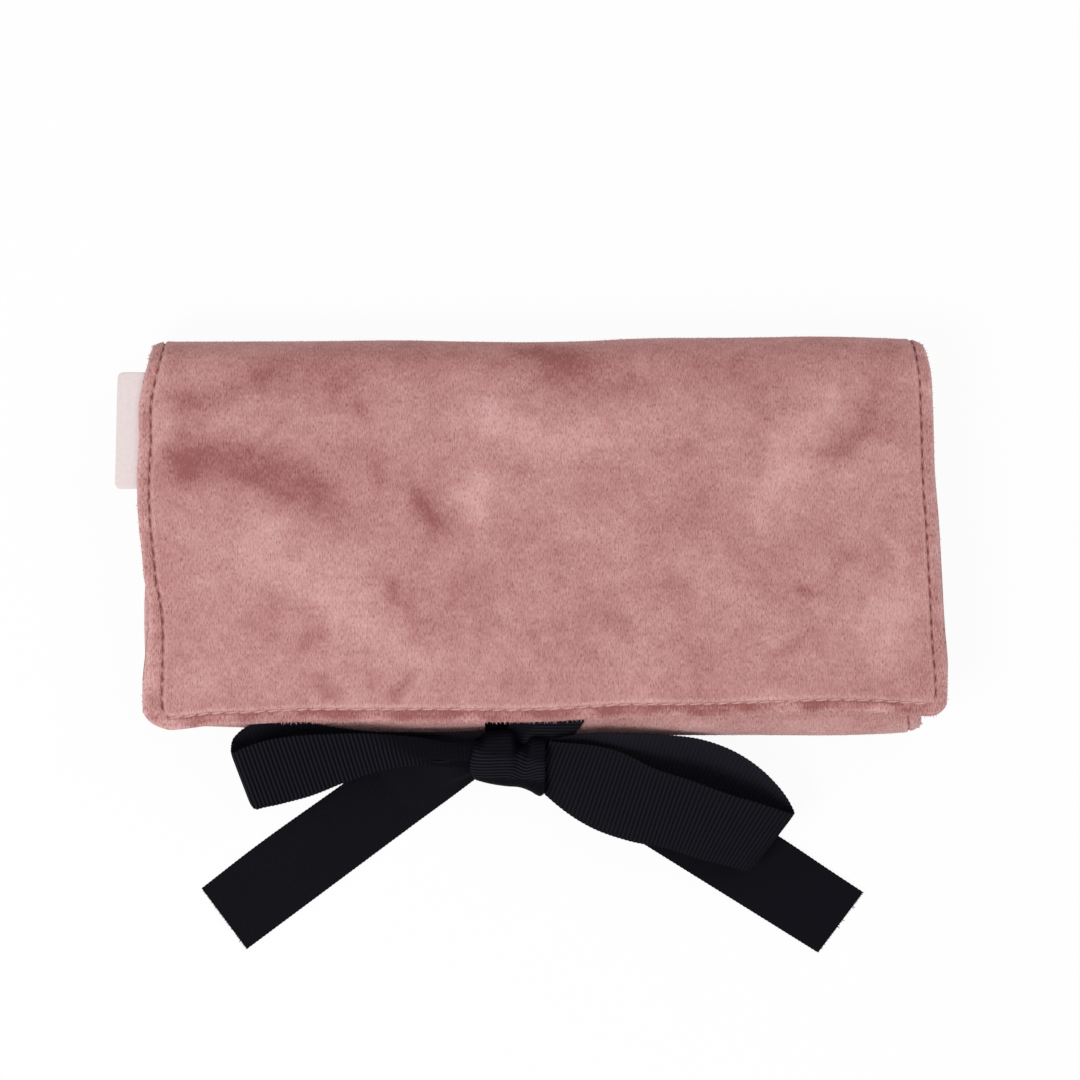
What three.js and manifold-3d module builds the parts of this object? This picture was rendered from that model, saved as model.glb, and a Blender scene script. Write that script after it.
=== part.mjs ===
// Velvet jewelry roll, folded in three and tied with a ribbon bow.
// Millimetres, +Z up. The roll lies on its back: X runs along the folds, +Y leads to the top fold.
// The origin is the centre of the flat underside of the back panel.
// The back panel lies at the bottom, the short inner panel is folded over it from the bottom edge,
// and the flap comes over both from the top edge. Cloth that turns over an edge is a row of strips.

import * as THREE from 'three';
import { mergeVertices } from 'three/addons/utils/BufferGeometryUtils.js';
import Module from 'manifold-3d';

const wasm = await Module();
wasm.setup();

// Roll, folded shut
const rollWidth = 222;
const rollHeight = 114;
const innerSpace = 8.8;
const flapSlack = 1.2;
const flapHemInset = 4;
const flapOverhang = 1;
const flapFlare = 6.5;
const clearance = 0.3;
const overrun = 2;

// Cloth layers
const coverThickness = 2.5;
const coverSkin = 1;
const liningThickness = 0.7;
const pocketThickness = 0.7;
const hemWidth = 2.6;
const waddingMargin = 7;
const flapCrown = 1.5;
const cornerRadius = 5;
const edgeRound = 5;
const edgeDrop = 1.7;
const foldSlit = 0.6;

// Pockets and their zips
const backZipInset = 31;
const flapZipInset = 7.7;
const zipLength = 190;
const mouthWidth = 3.6;
const tapeWidth = 5;
const tapeThickness = 0.5;
const coilWidth = 3.2;
const coilHeight = 1.3;
const stopLength = 2.4;
const sliderLength = 9;
const sliderWidth = 7.6;
const sliderPlate = 0.8;
const lugRadius = 0.75;
const lugWidth = 1.6;
const pullLength = 9;
const pullWidth = 4.6;
const pullThickness = 0.9;
const slipPocketInset = 15.4;

// Ring bar and its snap
const ringBarDiameter = 12.4;
const ringBarCore = 8;
const ringBarLength = 150;
const ringBarSpacing = 17.5;
const innerPanelGap = 5.3;
const tabLength = 22;
const tabWidth = 13;
const tabThickness = 0.9;
const anchorLength = 18;
const snapDiameter = 9;
const snapHeight = 1.1;
const snapPost = 3.4;
const snapHole = 4.2;
const capHeight = 0.8;

// Ribbon and bow
const ribbonWidth = 20;
const ribbonThickness = 0.8;
const bowTilt = 37;
const knotX = -6;
const knotDrop = 8.3;
const knotHeight = 12.3;
const knotLong = 10.5;
const knotDeep = 5.4;
const knotWall = 1.2;
const knotInsert = 2;
const gatherWidth = 10;
const gatherLength = 26;
const layerSpacing = 0.8;
const loopSeat = 0.9;
const tailSeat = 1.7;
const tailLanding = 20;
const flapTieX = -3;
const flapTieLength = 19;
const bodyTieX = 5;
const loops = {
  left_loop: {
    side: -1, length: 70, bulge: 4.2, fall: 1.6, droop: 3, skew: 16, backTilt: 40, frontTilt: 37,
  },
  right_loop: {
    side: 1, length: 70, bulge: 4.6, fall: 3, droop: 19, skew: 15, backTilt: 38, frontTilt: 14,
  },
};
const tails = {
  left_tail: { side: -1, length: 86, droop: 32.5 },
  right_tail: { side: 1, length: 98, droop: 27.5 },
};

// Label
const labelReach = 7.5;
const labelHeight = 33;
const labelThickness = 0.8;
const labelInset = 15.7;
const labelCorner = 1.5;

const materials = {
  velvet: new THREE.MeshStandardMaterial({ color: 0xbb8985, roughness: 0.95, metalness: 0 }),
  wadding: new THREE.MeshStandardMaterial({ color: 0xefece6, roughness: 1, metalness: 0 }),
  lining: new THREE.MeshStandardMaterial({ color: 0xc79c96, roughness: 0.8, metalness: 0 }),
  ribbon: new THREE.MeshStandardMaterial({ color: 0x17161b, roughness: 0.75, metalness: 0 }),
  label: new THREE.MeshStandardMaterial({ color: 0xe4d7d7, roughness: 0.6, metalness: 0 }),
  tape: new THREE.MeshStandardMaterial({ color: 0xb5817d, roughness: 0.85, metalness: 0 }),
  coil: new THREE.MeshStandardMaterial({ color: 0xa8736f, roughness: 0.45, metalness: 0 }),
  metal: new THREE.MeshStandardMaterial({ color: 0xd9b48a, roughness: 0.3, metalness: 1 }),
};

const radians = THREE.MathUtils.degToRad;
const lerp = THREE.MathUtils.lerp;
const smooth = (value) => THREE.MathUtils.smoothstep(value, 0, 1);
const halfWidth = rollWidth / 2;
const liningDepth = coverThickness + clearance;
const pocketDepth = liningDepth + liningThickness;
const panelDepth = pocketDepth + pocketThickness;
const innerTop = panelDepth + innerSpace + panelDepth;
const rollThickness = innerTop + flapSlack + panelDepth;
const flapFace = rollThickness - panelDepth;
const hemY = -rollHeight / 2 + flapHemInset;

// A fold's outer face is a half round from the back panel up to the panel folded over it
const topFold = {
  side: 1,
  hinges: 4,
  radius: rollThickness / 2,
  y: rollHeight / 2 - rollThickness / 2,
};
const bottomFold = {
  side: -1,
  hinges: 3,
  radius: innerTop / 2,
  y: -rollHeight / 2 + innerTop / 2,
};

// Places down the back panel, each from the one above it, and down the flap from its fold
const backZipY = rollHeight / 2 - backZipInset;
const ringBarY = backZipY - ringBarSpacing;
const innerEndY = ringBarY - ringBarDiameter / 2 - innerPanelGap;
const flapZipY = topFold.y - flapZipInset;
const labelY = topFold.y - labelInset;

const hingeAngle = (fold, index) => (Math.PI * (index + 0.5)) / fold.hinges;
const endAngle = (fold, extra) => (extra - foldSlit / 2) / fold.radius;

const roll = new THREE.Group();

function addPiece(name, geometry, material, group = roll) {
  const mesh = new THREE.Mesh(geometry, material);
  mesh.name = name;
  group.add(mesh);
  return mesh;
}

// Closed solid between two matching grids of points
function gridSolid(outer, inner) {
  const columns = outer.length;
  const rows = outer[0].length;
  const positions = [...outer.flat(), ...inner.flat()].flatMap((point) => [point.x, point.y, point.z]);
  const place = (layer, column, row) => (layer * columns + column) * rows + row;
  const faces = [];
  const quad = (a, b, c, d) => faces.push(a, b, c, a, c, d);
  for (let i = 0; i < columns - 1; i += 1) {
    for (let j = 0; j < rows - 1; j += 1) {
      quad(place(0, i, j), place(0, i + 1, j), place(0, i + 1, j + 1), place(0, i, j + 1));
      quad(place(1, i, j), place(1, i, j + 1), place(1, i + 1, j + 1), place(1, i + 1, j));
    }
    quad(place(0, i, 0), place(1, i, 0), place(1, i + 1, 0), place(0, i + 1, 0));
    quad(place(0, i, rows - 1), place(0, i + 1, rows - 1), place(1, i + 1, rows - 1),
      place(1, i, rows - 1));
  }
  for (let j = 0; j < rows - 1; j += 1) {
    quad(place(0, 0, j), place(0, 0, j + 1), place(1, 0, j + 1), place(1, 0, j));
    quad(place(0, columns - 1, j), place(1, columns - 1, j), place(1, columns - 1, j + 1),
      place(0, columns - 1, j + 1));
  }
  const geometry = new THREE.BufferGeometry();
  geometry.setAttribute('position', new THREE.Float32BufferAttribute(positions, 3));
  geometry.setIndex(signedVolume(positions, faces) < 0 ? faces.reverse() : faces);
  return geometry;
}

function signedVolume(positions, faces) {
  const corner = (index) => new THREE.Vector3().fromArray(positions, 3 * index);
  let volume = 0;
  for (let k = 0; k < faces.length; k += 3) {
    volume += corner(faces[k]).dot(corner(faces[k + 1]).cross(corner(faces[k + 2])));
  }
  return volume;
}

function toSolid(geometry) {
  const bare = geometry.clone();
  bare.deleteAttribute('normal');
  bare.deleteAttribute('uv');
  const merged = mergeVertices(bare);
  return new wasm.Manifold(new wasm.Mesh({
    numProp: 3,
    vertProperties: new Float32Array(merged.attributes.position.array),
    triVerts: new Uint32Array(merged.index.array),
  }));
}

function fromSolid(solid) {
  const mesh = solid.getMesh();
  const geometry = new THREE.BufferGeometry();
  geometry.setAttribute('position', new THREE.Float32BufferAttribute(mesh.vertProperties, 3));
  geometry.setIndex([...mesh.triVerts]);
  return geometry;
}

function cut(geometry, ...tools) {
  return fromSolid(tools.reduce((solid, tool) => solid.subtract(toSolid(tool)), toSolid(geometry)));
}

// Points of a fold's outer face, each with the direction that leads into the cloth
function foldStation(fold, angle) {
  const out = fold.side * Math.sin(angle);
  return {
    y: fold.y + out * fold.radius,
    z: fold.radius - Math.cos(angle) * fold.radius,
    inY: -out,
    inZ: Math.cos(angle),
    toEnd: Infinity,
    along: 0,
  };
}

function foldStations(fold, from, to, steps) {
  return Array.from({ length: steps + 1 }, (_, k) => foldStation(fold, lerp(from, to, k / steps)));
}

// Shares of a length: close together near its ends, where the cloth is rounded, and even between them
const endShares = [0, 0.12, 0.4, 1];
const arcSteps = 4;
const flatParts = 6;
function edgedShares(margin, parts) {
  const middle = Array.from({ length: parts - 1 }, (_, k) => lerp(margin, 1 - margin, (k + 1) / parts));
  const start = endShares.map((share) => share * margin);
  return [...start, ...middle, ...start.map((share) => 1 - share).reverse()];
}

const roundShare = (distance) => {
  const left = 1 - Math.min(distance / edgeRound, 1);
  return Math.sqrt(1 - left * left);
};
const cornerCut = (distance) => {
  const left = cornerRadius - Math.min(distance, cornerRadius);
  return cornerRadius - Math.sqrt(cornerRadius * cornerRadius - left * left);
};
const crownShare = (share) => 1 - (2 * share - 1) ** 4;

// Lines across the cloth, from fold to fold or from a fold to a free edge
const backLine = (shortened, extra = 0) => [
  ...foldStations(bottomFold, hingeAngle(bottomFold, 0) + endAngle(bottomFold, extra), 0, arcSteps),
  ...foldStations(topFold, 0, hingeAngle(topFold, 0) + endAngle(topFold, extra), arcSteps),
];
const freeLine = (fold, endY) => (shortened, extra = 0) => {
  const start = hingeAngle(fold, fold.hinges - 1) - endAngle(fold, extra);
  const end = endY + fold.side * shortened;
  const flat = edgedShares(edgeRound / rollHeight, flatParts).slice(1).map((share) => ({
    ...foldStation(fold, Math.PI),
    y: lerp(fold.y, end, share),
    toEnd: Math.abs(lerp(fold.y, end, share) - end),
    along: share,
  }));
  return [...foldStations(fold, start, Math.PI, arcSteps), ...flat];
};
const stripLine = (fold, index) => (shortened, extra = 0) => foldStations(
  fold,
  hingeAngle(fold, index) - endAngle(fold, extra),
  hingeAngle(fold, index + 1) + endAngle(fold, extra),
  arcSteps,
);
const flatLine = (fold, angle, from, to) => (shortened) => [from, to].map((y, end) => ({
  ...foldStation(fold, angle),
  y: y + (end === 0 ? 1 : -1) * Math.sign(to - from) * shortened,
}));
const flapLine = freeLine(topFold, hemY);
const innerPanelLine = freeLine(bottomFold, innerEndY);

// Side edges in X at a given Y
const straightSides = () => [-halfWidth, halfWidth];
const flapSides = (y) => [
  -halfWidth - flapOverhang,
  halfWidth + flapOverhang + (flapFlare * (topFold.y - Math.min(y, topFold.y))) / (topFold.y - hemY),
];

// Cloth between two depths below the outer face, drawn in from its sides and from its free edge
function clothSolid({
  line, sides = straightSides, from, to,
  inset = 0, extra = 0, crown = 0, drop = 0, corners = false, parts = 6,
}) {
  const shares = edgedShares(edgeRound / rollWidth, parts);
  const grid = (depth, lift, fall) => shares.map((share) => {
    const side = Math.min(share, 1 - share) * rollWidth;
    return line(inset + (corners ? cornerCut(side) : 0), extra).map((station) => {
      const [left, right] = sides(station.y);
      const rise = lift * crownShare(share) * crownShare(station.along);
      const level = depth - rise + fall * (1 - roundShare(side) * roundShare(station.toEnd));
      return new THREE.Vector3(
        lerp(left + inset, right - inset, share),
        station.y + station.inY * level,
        station.z + station.inZ * level,
      );
    });
  });
  return gridSolid(grid(from, crown, drop), grid(to, 0, 0));
}

// Cover with its hem turned in round the lining, and a bay for the wadding where it has one
function cover({ depth, bay, ...shape }) {
  const { line, sides } = shape;
  const body = clothSolid({ ...shape, from: 0, to: depth });
  const hollow = clothSolid({
    line, sides, from: coverThickness, to: depth + overrun, inset: hemWidth, extra: overrun,
  });
  return cut(body, hollow, ...(bay ? [bay] : []));
}

// Pocket sheet with a mouth under its zip
function zipPocket(sheet, zipY, face) {
  const mouth = new THREE.BoxGeometry(zipLength, mouthWidth, pocketThickness + overrun);
  return cut(sheet, mouth.translate(0, zipY, face));
}

// Wadding pad under a cover. Grown by the clearance, it is the bay that the pad fills.
function wadding({ line, sides, crown = 0, parts = 1 }, grow = 0) {
  return clothSolid({
    line,
    sides,
    from: coverSkin + clearance - grow,
    to: coverThickness + (grow > 0 ? overrun : 0),
    inset: waddingMargin - grow,
    crown,
    parts,
  });
}

const crownedLine = (fold, endY) => (shortened) => Array.from({ length: flatParts + 1 }, (_, k) => {
  const y = lerp(fold.y - fold.side * shortened, endY + fold.side * shortened, k / flatParts);
  return { ...foldStation(fold, Math.PI), y, along: (fold.y - y) / (fold.y - endY) };
});

// Back panel
const backPad = { line: flatLine(topFold, 0, bottomFold.y, topFold.y) };
const liningShape = { from: liningDepth, to: pocketDepth, inset: hemWidth + clearance, parts: 1 };
const pocketShape = { from: pocketDepth, to: panelDepth, inset: hemWidth + clearance, parts: 1 };
const soft = { drop: edgeDrop, depth: panelDepth };
addPiece('back_cover', cover({ ...soft, line: backLine, bay: wadding(backPad, clearance) }),
  materials.velvet);
addPiece('back_wadding', wadding(backPad), materials.wadding);
addPiece('back_lining', clothSolid({ ...liningShape, line: backLine }), materials.lining);
const backPocket = clothSolid({ ...pocketShape, line: backPad.line });
addPiece('back_pocket', zipPocket(backPocket, backZipY, panelDepth), materials.lining);

// Flap, with its crown
const flapPad = { line: crownedLine(topFold, hemY), sides: flapSides, crown: flapCrown, parts: flatParts };
const flapShape = { ...soft, line: flapLine, sides: flapSides, crown: flapCrown, corners: true, parts: 8 };
addPiece('flap_cover', cover({ ...flapShape, bay: wadding(flapPad, clearance) }), materials.velvet);
addPiece('flap_wadding', wadding(flapPad), materials.wadding);
const flapLining = clothSolid({ ...liningShape, line: flapLine, sides: flapSides });
const flapPocketLine = flatLine(topFold, Math.PI, topFold.y + hemWidth, hemY);
const flapPocket = clothSolid({ ...pocketShape, line: flapPocketLine, sides: flapSides });
addPiece('flap_lining', flapLining, materials.lining);
addPiece('flap_pocket', zipPocket(flapPocket, flapZipY, flapFace), materials.lining);

// Inner panel, with an open slip pocket
const innerPad = { line: flatLine(bottomFold, Math.PI, bottomFold.y, innerEndY) };
addPiece('inner_cover', cover({ ...soft, line: innerPanelLine, bay: wadding(innerPad, clearance) }),
  materials.velvet);
addPiece('inner_wadding', wadding(innerPad), materials.wadding);
addPiece('inner_lining', clothSolid({ ...liningShape, line: innerPanelLine }), materials.lining);
addPiece('inner_slip_pocket', clothSolid({
  ...pocketShape,
  line: flatLine(bottomFold, Math.PI, bottomFold.y - hemWidth, innerEndY - slipPocketInset),
}), materials.lining);

// Strips of cover and lining that turn over the folds
function addStrips(name, fold) {
  for (let index = 0; index < fold.hinges - 1; index += 1) {
    const line = stripLine(fold, index);
    addPiece(`${name}_cover_${index + 1}`, cover({ line, drop: edgeDrop, depth: pocketDepth, parts: 2 }),
      materials.velvet);
    addPiece(`${name}_lining_${index + 1}`, clothSolid({ ...liningShape, line }), materials.lining);
  }
}
addStrips('top_fold', topFold);
addStrips('bottom_fold', bottomFold);

// Shapes drawn across X, given in Y and Z, or across Y, given in X and Z
const alongX = new THREE.Matrix4().makeBasis(
  new THREE.Vector3(0, 1, 0),
  new THREE.Vector3(0, 0, 1),
  new THREE.Vector3(1, 0, 0),
);
const alongY = new THREE.Matrix4().makeBasis(
  new THREE.Vector3(1, 0, 0),
  new THREE.Vector3(0, 0, 1),
  new THREE.Vector3(0, -1, 0),
);
function bar(shape, length, direction, curveSegments = 8) {
  const geometry = new THREE.ExtrudeGeometry(shape, { depth: length, bevelEnabled: false, curveSegments });
  return geometry.translate(0, 0, -length / 2).applyMatrix4(direction);
}
const outline = (points) => new THREE.Shape(points.map(([x, y]) => new THREE.Vector2(x, y)));

// Outline of a coil's section, as shares of its width and height
const coilShares = [[-0.5, 0], [0.5, 0], [0.5, 0.5], [0.25, 1], [-0.25, 1], [-0.5, 0.5]];

// Zip: two tapes, a coil between them, a stop at each end, and a slider with its pull.
// up is +1 where the zip faces up and -1 where it faces down; closed is the side of the shut slider.
function addZip(name, y, face, up, closed) {
  const coilLength = zipLength - 2 * (stopLength + clearance);
  const box = (length, width, height, x, offset) => new THREE.BoxGeometry(length, width, height)
    .translate(x, y + offset, face + (up * height) / 2);
  const tapeOffset = coilWidth / 2 + clearance + tapeWidth / 2;
  addPiece(`${name}_tape_upper`, box(zipLength, tapeWidth, tapeThickness, 0, tapeOffset), materials.tape);
  addPiece(`${name}_tape_lower`, box(zipLength, tapeWidth, tapeThickness, 0, -tapeOffset), materials.tape);
  const coilShape = outline(
    coilShares.map(([across, high]) => [across * coilWidth, up * high * coilHeight]),
  );
  addPiece(`${name}_coil`, bar(coilShape, coilLength, alongX).translate(0, y, face), materials.coil);
  const stopHeight = coilHeight + clearance + sliderPlate;
  const stopX = (closed * (zipLength - stopLength)) / 2;
  addPiece(`${name}_top_stop`, box(stopLength, coilWidth, stopHeight, stopX, 0), materials.metal);
  addPiece(`${name}_bottom_stop`, box(stopLength, coilWidth, stopHeight, -stopX, 0), materials.metal);

  const sliderX = (closed * (coilLength - sliderLength)) / 2;
  const channel = coilWidth / 2 + clearance;
  const legs = tapeThickness + clearance;
  const ceiling = coilHeight + clearance;
  const plate = ceiling + sliderPlate;
  const bodyShape = outline([
    [-sliderWidth / 2, legs], [-channel, legs], [-channel, ceiling], [channel, ceiling],
    [channel, legs], [sliderWidth / 2, legs], [sliderWidth / 2, plate], [-sliderWidth / 2, plate],
  ].map(([across, high]) => [across, up * high]));
  const pivot = plate + lugRadius;
  const lugShape = outline([
    [-lugRadius, plate - sliderPlate / 2], [lugRadius, plate - sliderPlate / 2],
    [lugRadius, pivot], [lugRadius / 2, pivot + lugRadius],
    [-lugRadius / 2, pivot + lugRadius], [-lugRadius, pivot],
  ].map(([along, high]) => [along, up * high]));
  const slider = toSolid(bar(bodyShape, sliderLength, alongX))
    .add(toSolid(bar(lugShape, lugWidth, alongY)));
  addPiece(`${name}_slider`, fromSolid(slider).translate(sliderX, y, face), materials.metal);

  const slot = lugWidth / 2 + clearance;
  const root = lugRadius + clearance;
  const half = pullWidth / 2;
  const tip = lugRadius / 2;
  const pullShape = outline([
    [tip, slot], [tip, half], [-pullLength + half, half], [-pullLength, half / 2],
    [-pullLength, -half / 2], [-pullLength + half, -half], [tip, -half], [tip, -slot],
    [-root, -slot], [-root, slot],
  ].map(([along, across]) => [closed * along, across]));
  const eye = new THREE.Path().absarc(closed * (half - pullLength), 0, half / 3, 0, 2 * Math.PI);
  pullShape.holes.push(eye);
  const pull = new THREE.ExtrudeGeometry(
    pullShape,
    { depth: pullThickness, bevelEnabled: false, curveSegments: 4 },
  );
  pull.translate(sliderX, y, face + up * pivot - pullThickness / 2);
  addPiece(`${name}_pull`, pull, materials.metal);
}
addZip('back_zip', backZipY, panelDepth, 1, 1);
addZip('flap_zip', flapZipY, flapFace, -1, -1);

// Ring bar: a soft tube on a core, sewn down at its left end and held by a snap at its right end
const barRadius = ringBarDiameter / 2;
const barZ = panelDepth + clearance + barRadius;
const barEnd = ringBarLength / 2;
const boreRadius = ringBarCore / 2 + clearance;
const barWall = barRadius - boreRadius;
const turned = (profile, segments) => new THREE.LatheGeometry(
  profile.map(([radius, height]) => new THREE.Vector2(radius, height)),
  segments,
);
const barProfile = [
  [0, barEnd], [barRadius - barWall, barEnd], [barRadius, barEnd - barWall],
  [barRadius, barWall - barEnd], [barRadius - barWall / 2, -barEnd], [boreRadius, -barEnd],
  [boreRadius, barEnd - barWall], [0, barEnd - barWall],
];
const onBar = (geometry) => geometry.rotateZ(-Math.PI / 2).translate(0, ringBarY, barZ);
const coreLength = ringBarLength - barWall - clearance;
const core = new THREE.CylinderGeometry(ringBarCore / 2, ringBarCore / 2, coreLength, 16);
addPiece('ring_bar_cover', onBar(turned(barProfile.reverse(), 20)), materials.velvet);
addPiece('ring_bar_core', onBar(core.translate(0, coreLength / 2 - barEnd, 0)), materials.wadding);
const anchor = new THREE.BoxGeometry(anchorLength, tabWidth, tabThickness);
addPiece('ring_bar_anchor', anchor
  .translate(-barEnd - clearance - anchorLength / 2, ringBarY, panelDepth + tabThickness / 2),
materials.velvet);

// Snap: socket on the back panel, stud under the tab, and a cap whose post goes down through the tab
const snapX = barEnd + tabLength - tabWidth / 2;
const studPlate = snapHeight / 2;
const studBase = panelDepth + snapHeight + clearance;
const tabBase = studBase + studPlate;
const atSnap = (geometry, z) => geometry.rotateX(Math.PI / 2).translate(snapX, ringBarY, z);
const socketProfile = [
  [snapHole / 2, 0], [snapDiameter / 2, 0], [snapDiameter / 2, snapHeight / 2],
  [snapDiameter / 2 - snapHeight / 2, snapHeight], [snapHole / 2, snapHeight], [snapHole / 2, 0],
];
addPiece('snap_socket', atSnap(turned(socketProfile, 20), panelDepth), materials.metal);
const studProfile = [
  [0, -snapHeight], [snapPost / 2, -snapHeight], [snapPost / 2, 0],
  [snapDiameter / 2, 0], [snapDiameter / 2, studPlate], [0, studPlate],
];
addPiece('snap_stud', atSnap(turned(studProfile, 20), studBase), materials.metal);
const postRadius = snapPost / 4;
const capProfile = [
  [0, -tabThickness], [postRadius, -tabThickness], [postRadius, 0],
  [snapDiameter / 2, 0], [snapDiameter / 2 - capHeight / 2, capHeight], [0, capHeight],
];
addPiece('snap_cap', atSnap(turned(capProfile, 20), tabBase + tabThickness), materials.metal);

// Ribbon strip through stations, each a centre and half the width as a vector
function ribbonSolid(stations, thickness = ribbonThickness) {
  const faces = stations.map((station, k) => {
    const before = stations[Math.max(k - 1, 0)].centre;
    const after = stations[Math.min(k + 1, stations.length - 1)].centre;
    return after.clone().sub(before).cross(station.half).setLength(thickness / 2);
  });
  const rail = (edge, side) => stations.map(({ centre, half }, k) => centre.clone()
    .addScaledVector(half, edge)
    .addScaledVector(faces[k], side));
  return gridSolid([rail(-1, 1), rail(1, 1)], [rail(-1, -1), rail(1, -1)]);
}

const tabSteps = 10;
const tabBendShare = 0.4;
const tabStations = Array.from({ length: tabSteps + 1 }, (_, k) => {
  const share = k / tabSteps;
  const z = lerp(barZ - barRadius / 2, tabBase + tabThickness / 2, smooth(share / tabBendShare));
  return {
    centre: new THREE.Vector3(barEnd + clearance + share * tabLength, ringBarY, z),
    half: new THREE.Vector3(0, tabWidth / 2, 0),
  };
});
const holeRadius = postRadius + clearance;
const tabHole = new THREE.CylinderGeometry(holeRadius, holeRadius, overrun + tabThickness, 12);
const tabPiece = cut(ribbonSolid(tabStations, tabThickness), atSnap(tabHole, tabBase + tabThickness / 2));
addPiece('ring_bar_tab', tabPiece, materials.velvet);

// Label: a folded tab in the flap's left seam, left bare
const labelShape = new THREE.Shape();
const labelHalf = labelHeight / 2;
labelShape.moveTo(0, -labelHalf);
labelShape.lineTo(0, labelHalf);
labelShape.lineTo(labelCorner - labelReach, labelHalf);
labelShape.absarc(labelCorner - labelReach, labelHalf - labelCorner, labelCorner, Math.PI / 2, Math.PI);
labelShape.lineTo(-labelReach, labelCorner - labelHalf);
labelShape.absarc(labelCorner - labelReach, labelCorner - labelHalf, labelCorner, Math.PI, 1.5 * Math.PI);
const label = new THREE.ExtrudeGeometry(
  labelShape,
  { depth: labelThickness, bevelEnabled: false, curveSegments: 4 },
);
const seamX = -halfWidth - flapOverhang - clearance;
addPiece('label', label.translate(seamX, labelY, flapFace + labelThickness), materials.label);

// Ties: the flap's lies under its hem, the body's is sewn over the bottom fold
const knotY = -rollHeight / 2 - knotDrop;
const tilt = radians(bowTilt);
const knotReach = Math.hypot(knotLong * Math.cos(tilt), knotDeep * Math.sin(tilt));
const tieEnd = knotY + knotReach + clearance / 2;
const flapTie = new THREE.BoxGeometry(ribbonWidth, hemY + flapTieLength - tieEnd, ribbonThickness);
addPiece('flap_tie', flapTie
  .translate(flapTieX, (hemY + flapTieLength + tieEnd) / 2, flapFace - ribbonThickness / 2),
materials.ribbon);
addPiece('body_tie', clothSolid({
  line: stripLine(bottomFold, bottomFold.hinges - 2),
  sides: () => [bodyTieX - ribbonWidth / 2, bodyTieX + ribbonWidth / 2],
  from: -clearance - ribbonThickness,
  to: -clearance,
  parts: 1,
}), materials.ribbon);

// Bow: it leans on the bottom fold, so its own plane is tilted about X
const knotPlace = new THREE.Vector3(knotX, knotY, knotHeight);
const outward = new THREE.Vector3(0, -Math.sin(tilt), Math.cos(tilt));
const knotShape = new THREE.Shape().absellipse(0, 0, knotLong, knotDeep, 0, 2 * Math.PI);
const knotHole = new THREE.Path();
knotShape.holes.push(knotHole.absellipse(0, 0, knotLong - knotWall, knotDeep - knotWall, 0, 2 * Math.PI));
const knot = addPiece('knot', bar(knotShape, ribbonWidth, alongX, 12), materials.ribbon);
knot.rotation.x = tilt;
knot.position.copy(knotPlace);

const knotSide = (side, seat) => knotPlace.clone()
  .add(new THREE.Vector3(side * (ribbonWidth / 2 - knotInsert), 0, 0))
  .addScaledVector(outward, seat);
const gathered = (distance) => lerp(gatherWidth, ribbonWidth, smooth(distance / gatherLength)) / 2;

// Loop: out along its back layer, round its end and back along the front one
function loopStations(loop, steps = 28) {
  const droop = radians(loop.droop);
  const along = new THREE.Vector3(loop.side * Math.cos(droop), -Math.sin(droop), -loop.fall / loop.length);
  const across = new THREE.Vector3(loop.side * Math.sin(droop), Math.cos(droop), 0);
  const start = knotSide(loop.side, loopSeat);
  return Array.from({ length: steps + 1 }, (_, k) => {
    const turn = k / steps;
    const share = (1 - Math.cos(2 * Math.PI * turn)) / 2;
    const free = smooth((share * loop.length) / gatherLength);
    const swell = -loop.bulge * Math.sin(2 * Math.PI * turn) * Math.sqrt(share)
      - layerSpacing * Math.cos(Math.PI * turn);
    const lean = radians(lerp(bowTilt, lerp(loop.backTilt, loop.frontTilt, smooth(turn)), free));
    const skew = radians(loop.skew) * smooth(share);
    const rise = new THREE.Vector3(0, 0, Math.sin(lean)).addScaledVector(across, Math.cos(lean));
    const facing = new THREE.Vector3(0, 0, Math.cos(lean)).addScaledVector(across, -Math.sin(lean));
    return {
      centre: start.clone().addScaledVector(along, share * loop.length).addScaledVector(facing, swell),
      half: rise.multiplyScalar(Math.cos(skew)).addScaledVector(along, Math.sin(skew))
        .multiplyScalar(gathered(share * loop.length) / Math.cos(skew)),
    };
  });
}

// Tail: out of the knot, down to the table and flat along it
function tailStations(tail, steps = 16) {
  const droop = radians(tail.droop);
  const start = knotSide(tail.side, -tailSeat);
  return Array.from({ length: steps + 1 }, (_, k) => {
    const run = (k / steps) * tail.length;
    const landed = smooth(run / tailLanding);
    const lean = tilt * (1 - landed);
    return {
      centre: new THREE.Vector3(
        start.x + tail.side * run * Math.cos(droop),
        start.y - run * Math.sin(droop),
        lerp(start.z, ribbonThickness / 2, landed),
      ),
      half: new THREE.Vector3(
        tail.side * Math.sin(droop) * Math.cos(lean),
        Math.cos(droop) * Math.cos(lean),
        Math.sin(lean),
      ).multiplyScalar(gathered(run)),
    };
  });
}
for (const [name, loop] of Object.entries(loops)) {
  addPiece(name, ribbonSolid(loopStations(loop)), materials.ribbon);
}
for (const [name, tail] of Object.entries(tails)) {
  addPiece(name, ribbonSolid(tailStations(tail)), materials.ribbon);
}

export default roll;
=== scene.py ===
"""Looks of the velvet jewelry roll: padded pile, topstitching, lining, zips and the tied ribbon.

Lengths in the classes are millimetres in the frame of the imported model. They become metres as a
mesh is made.
"""

import logging
import math
from collections.abc import Callable, Iterable, Sequence
from dataclasses import dataclass
from enum import Enum

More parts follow.
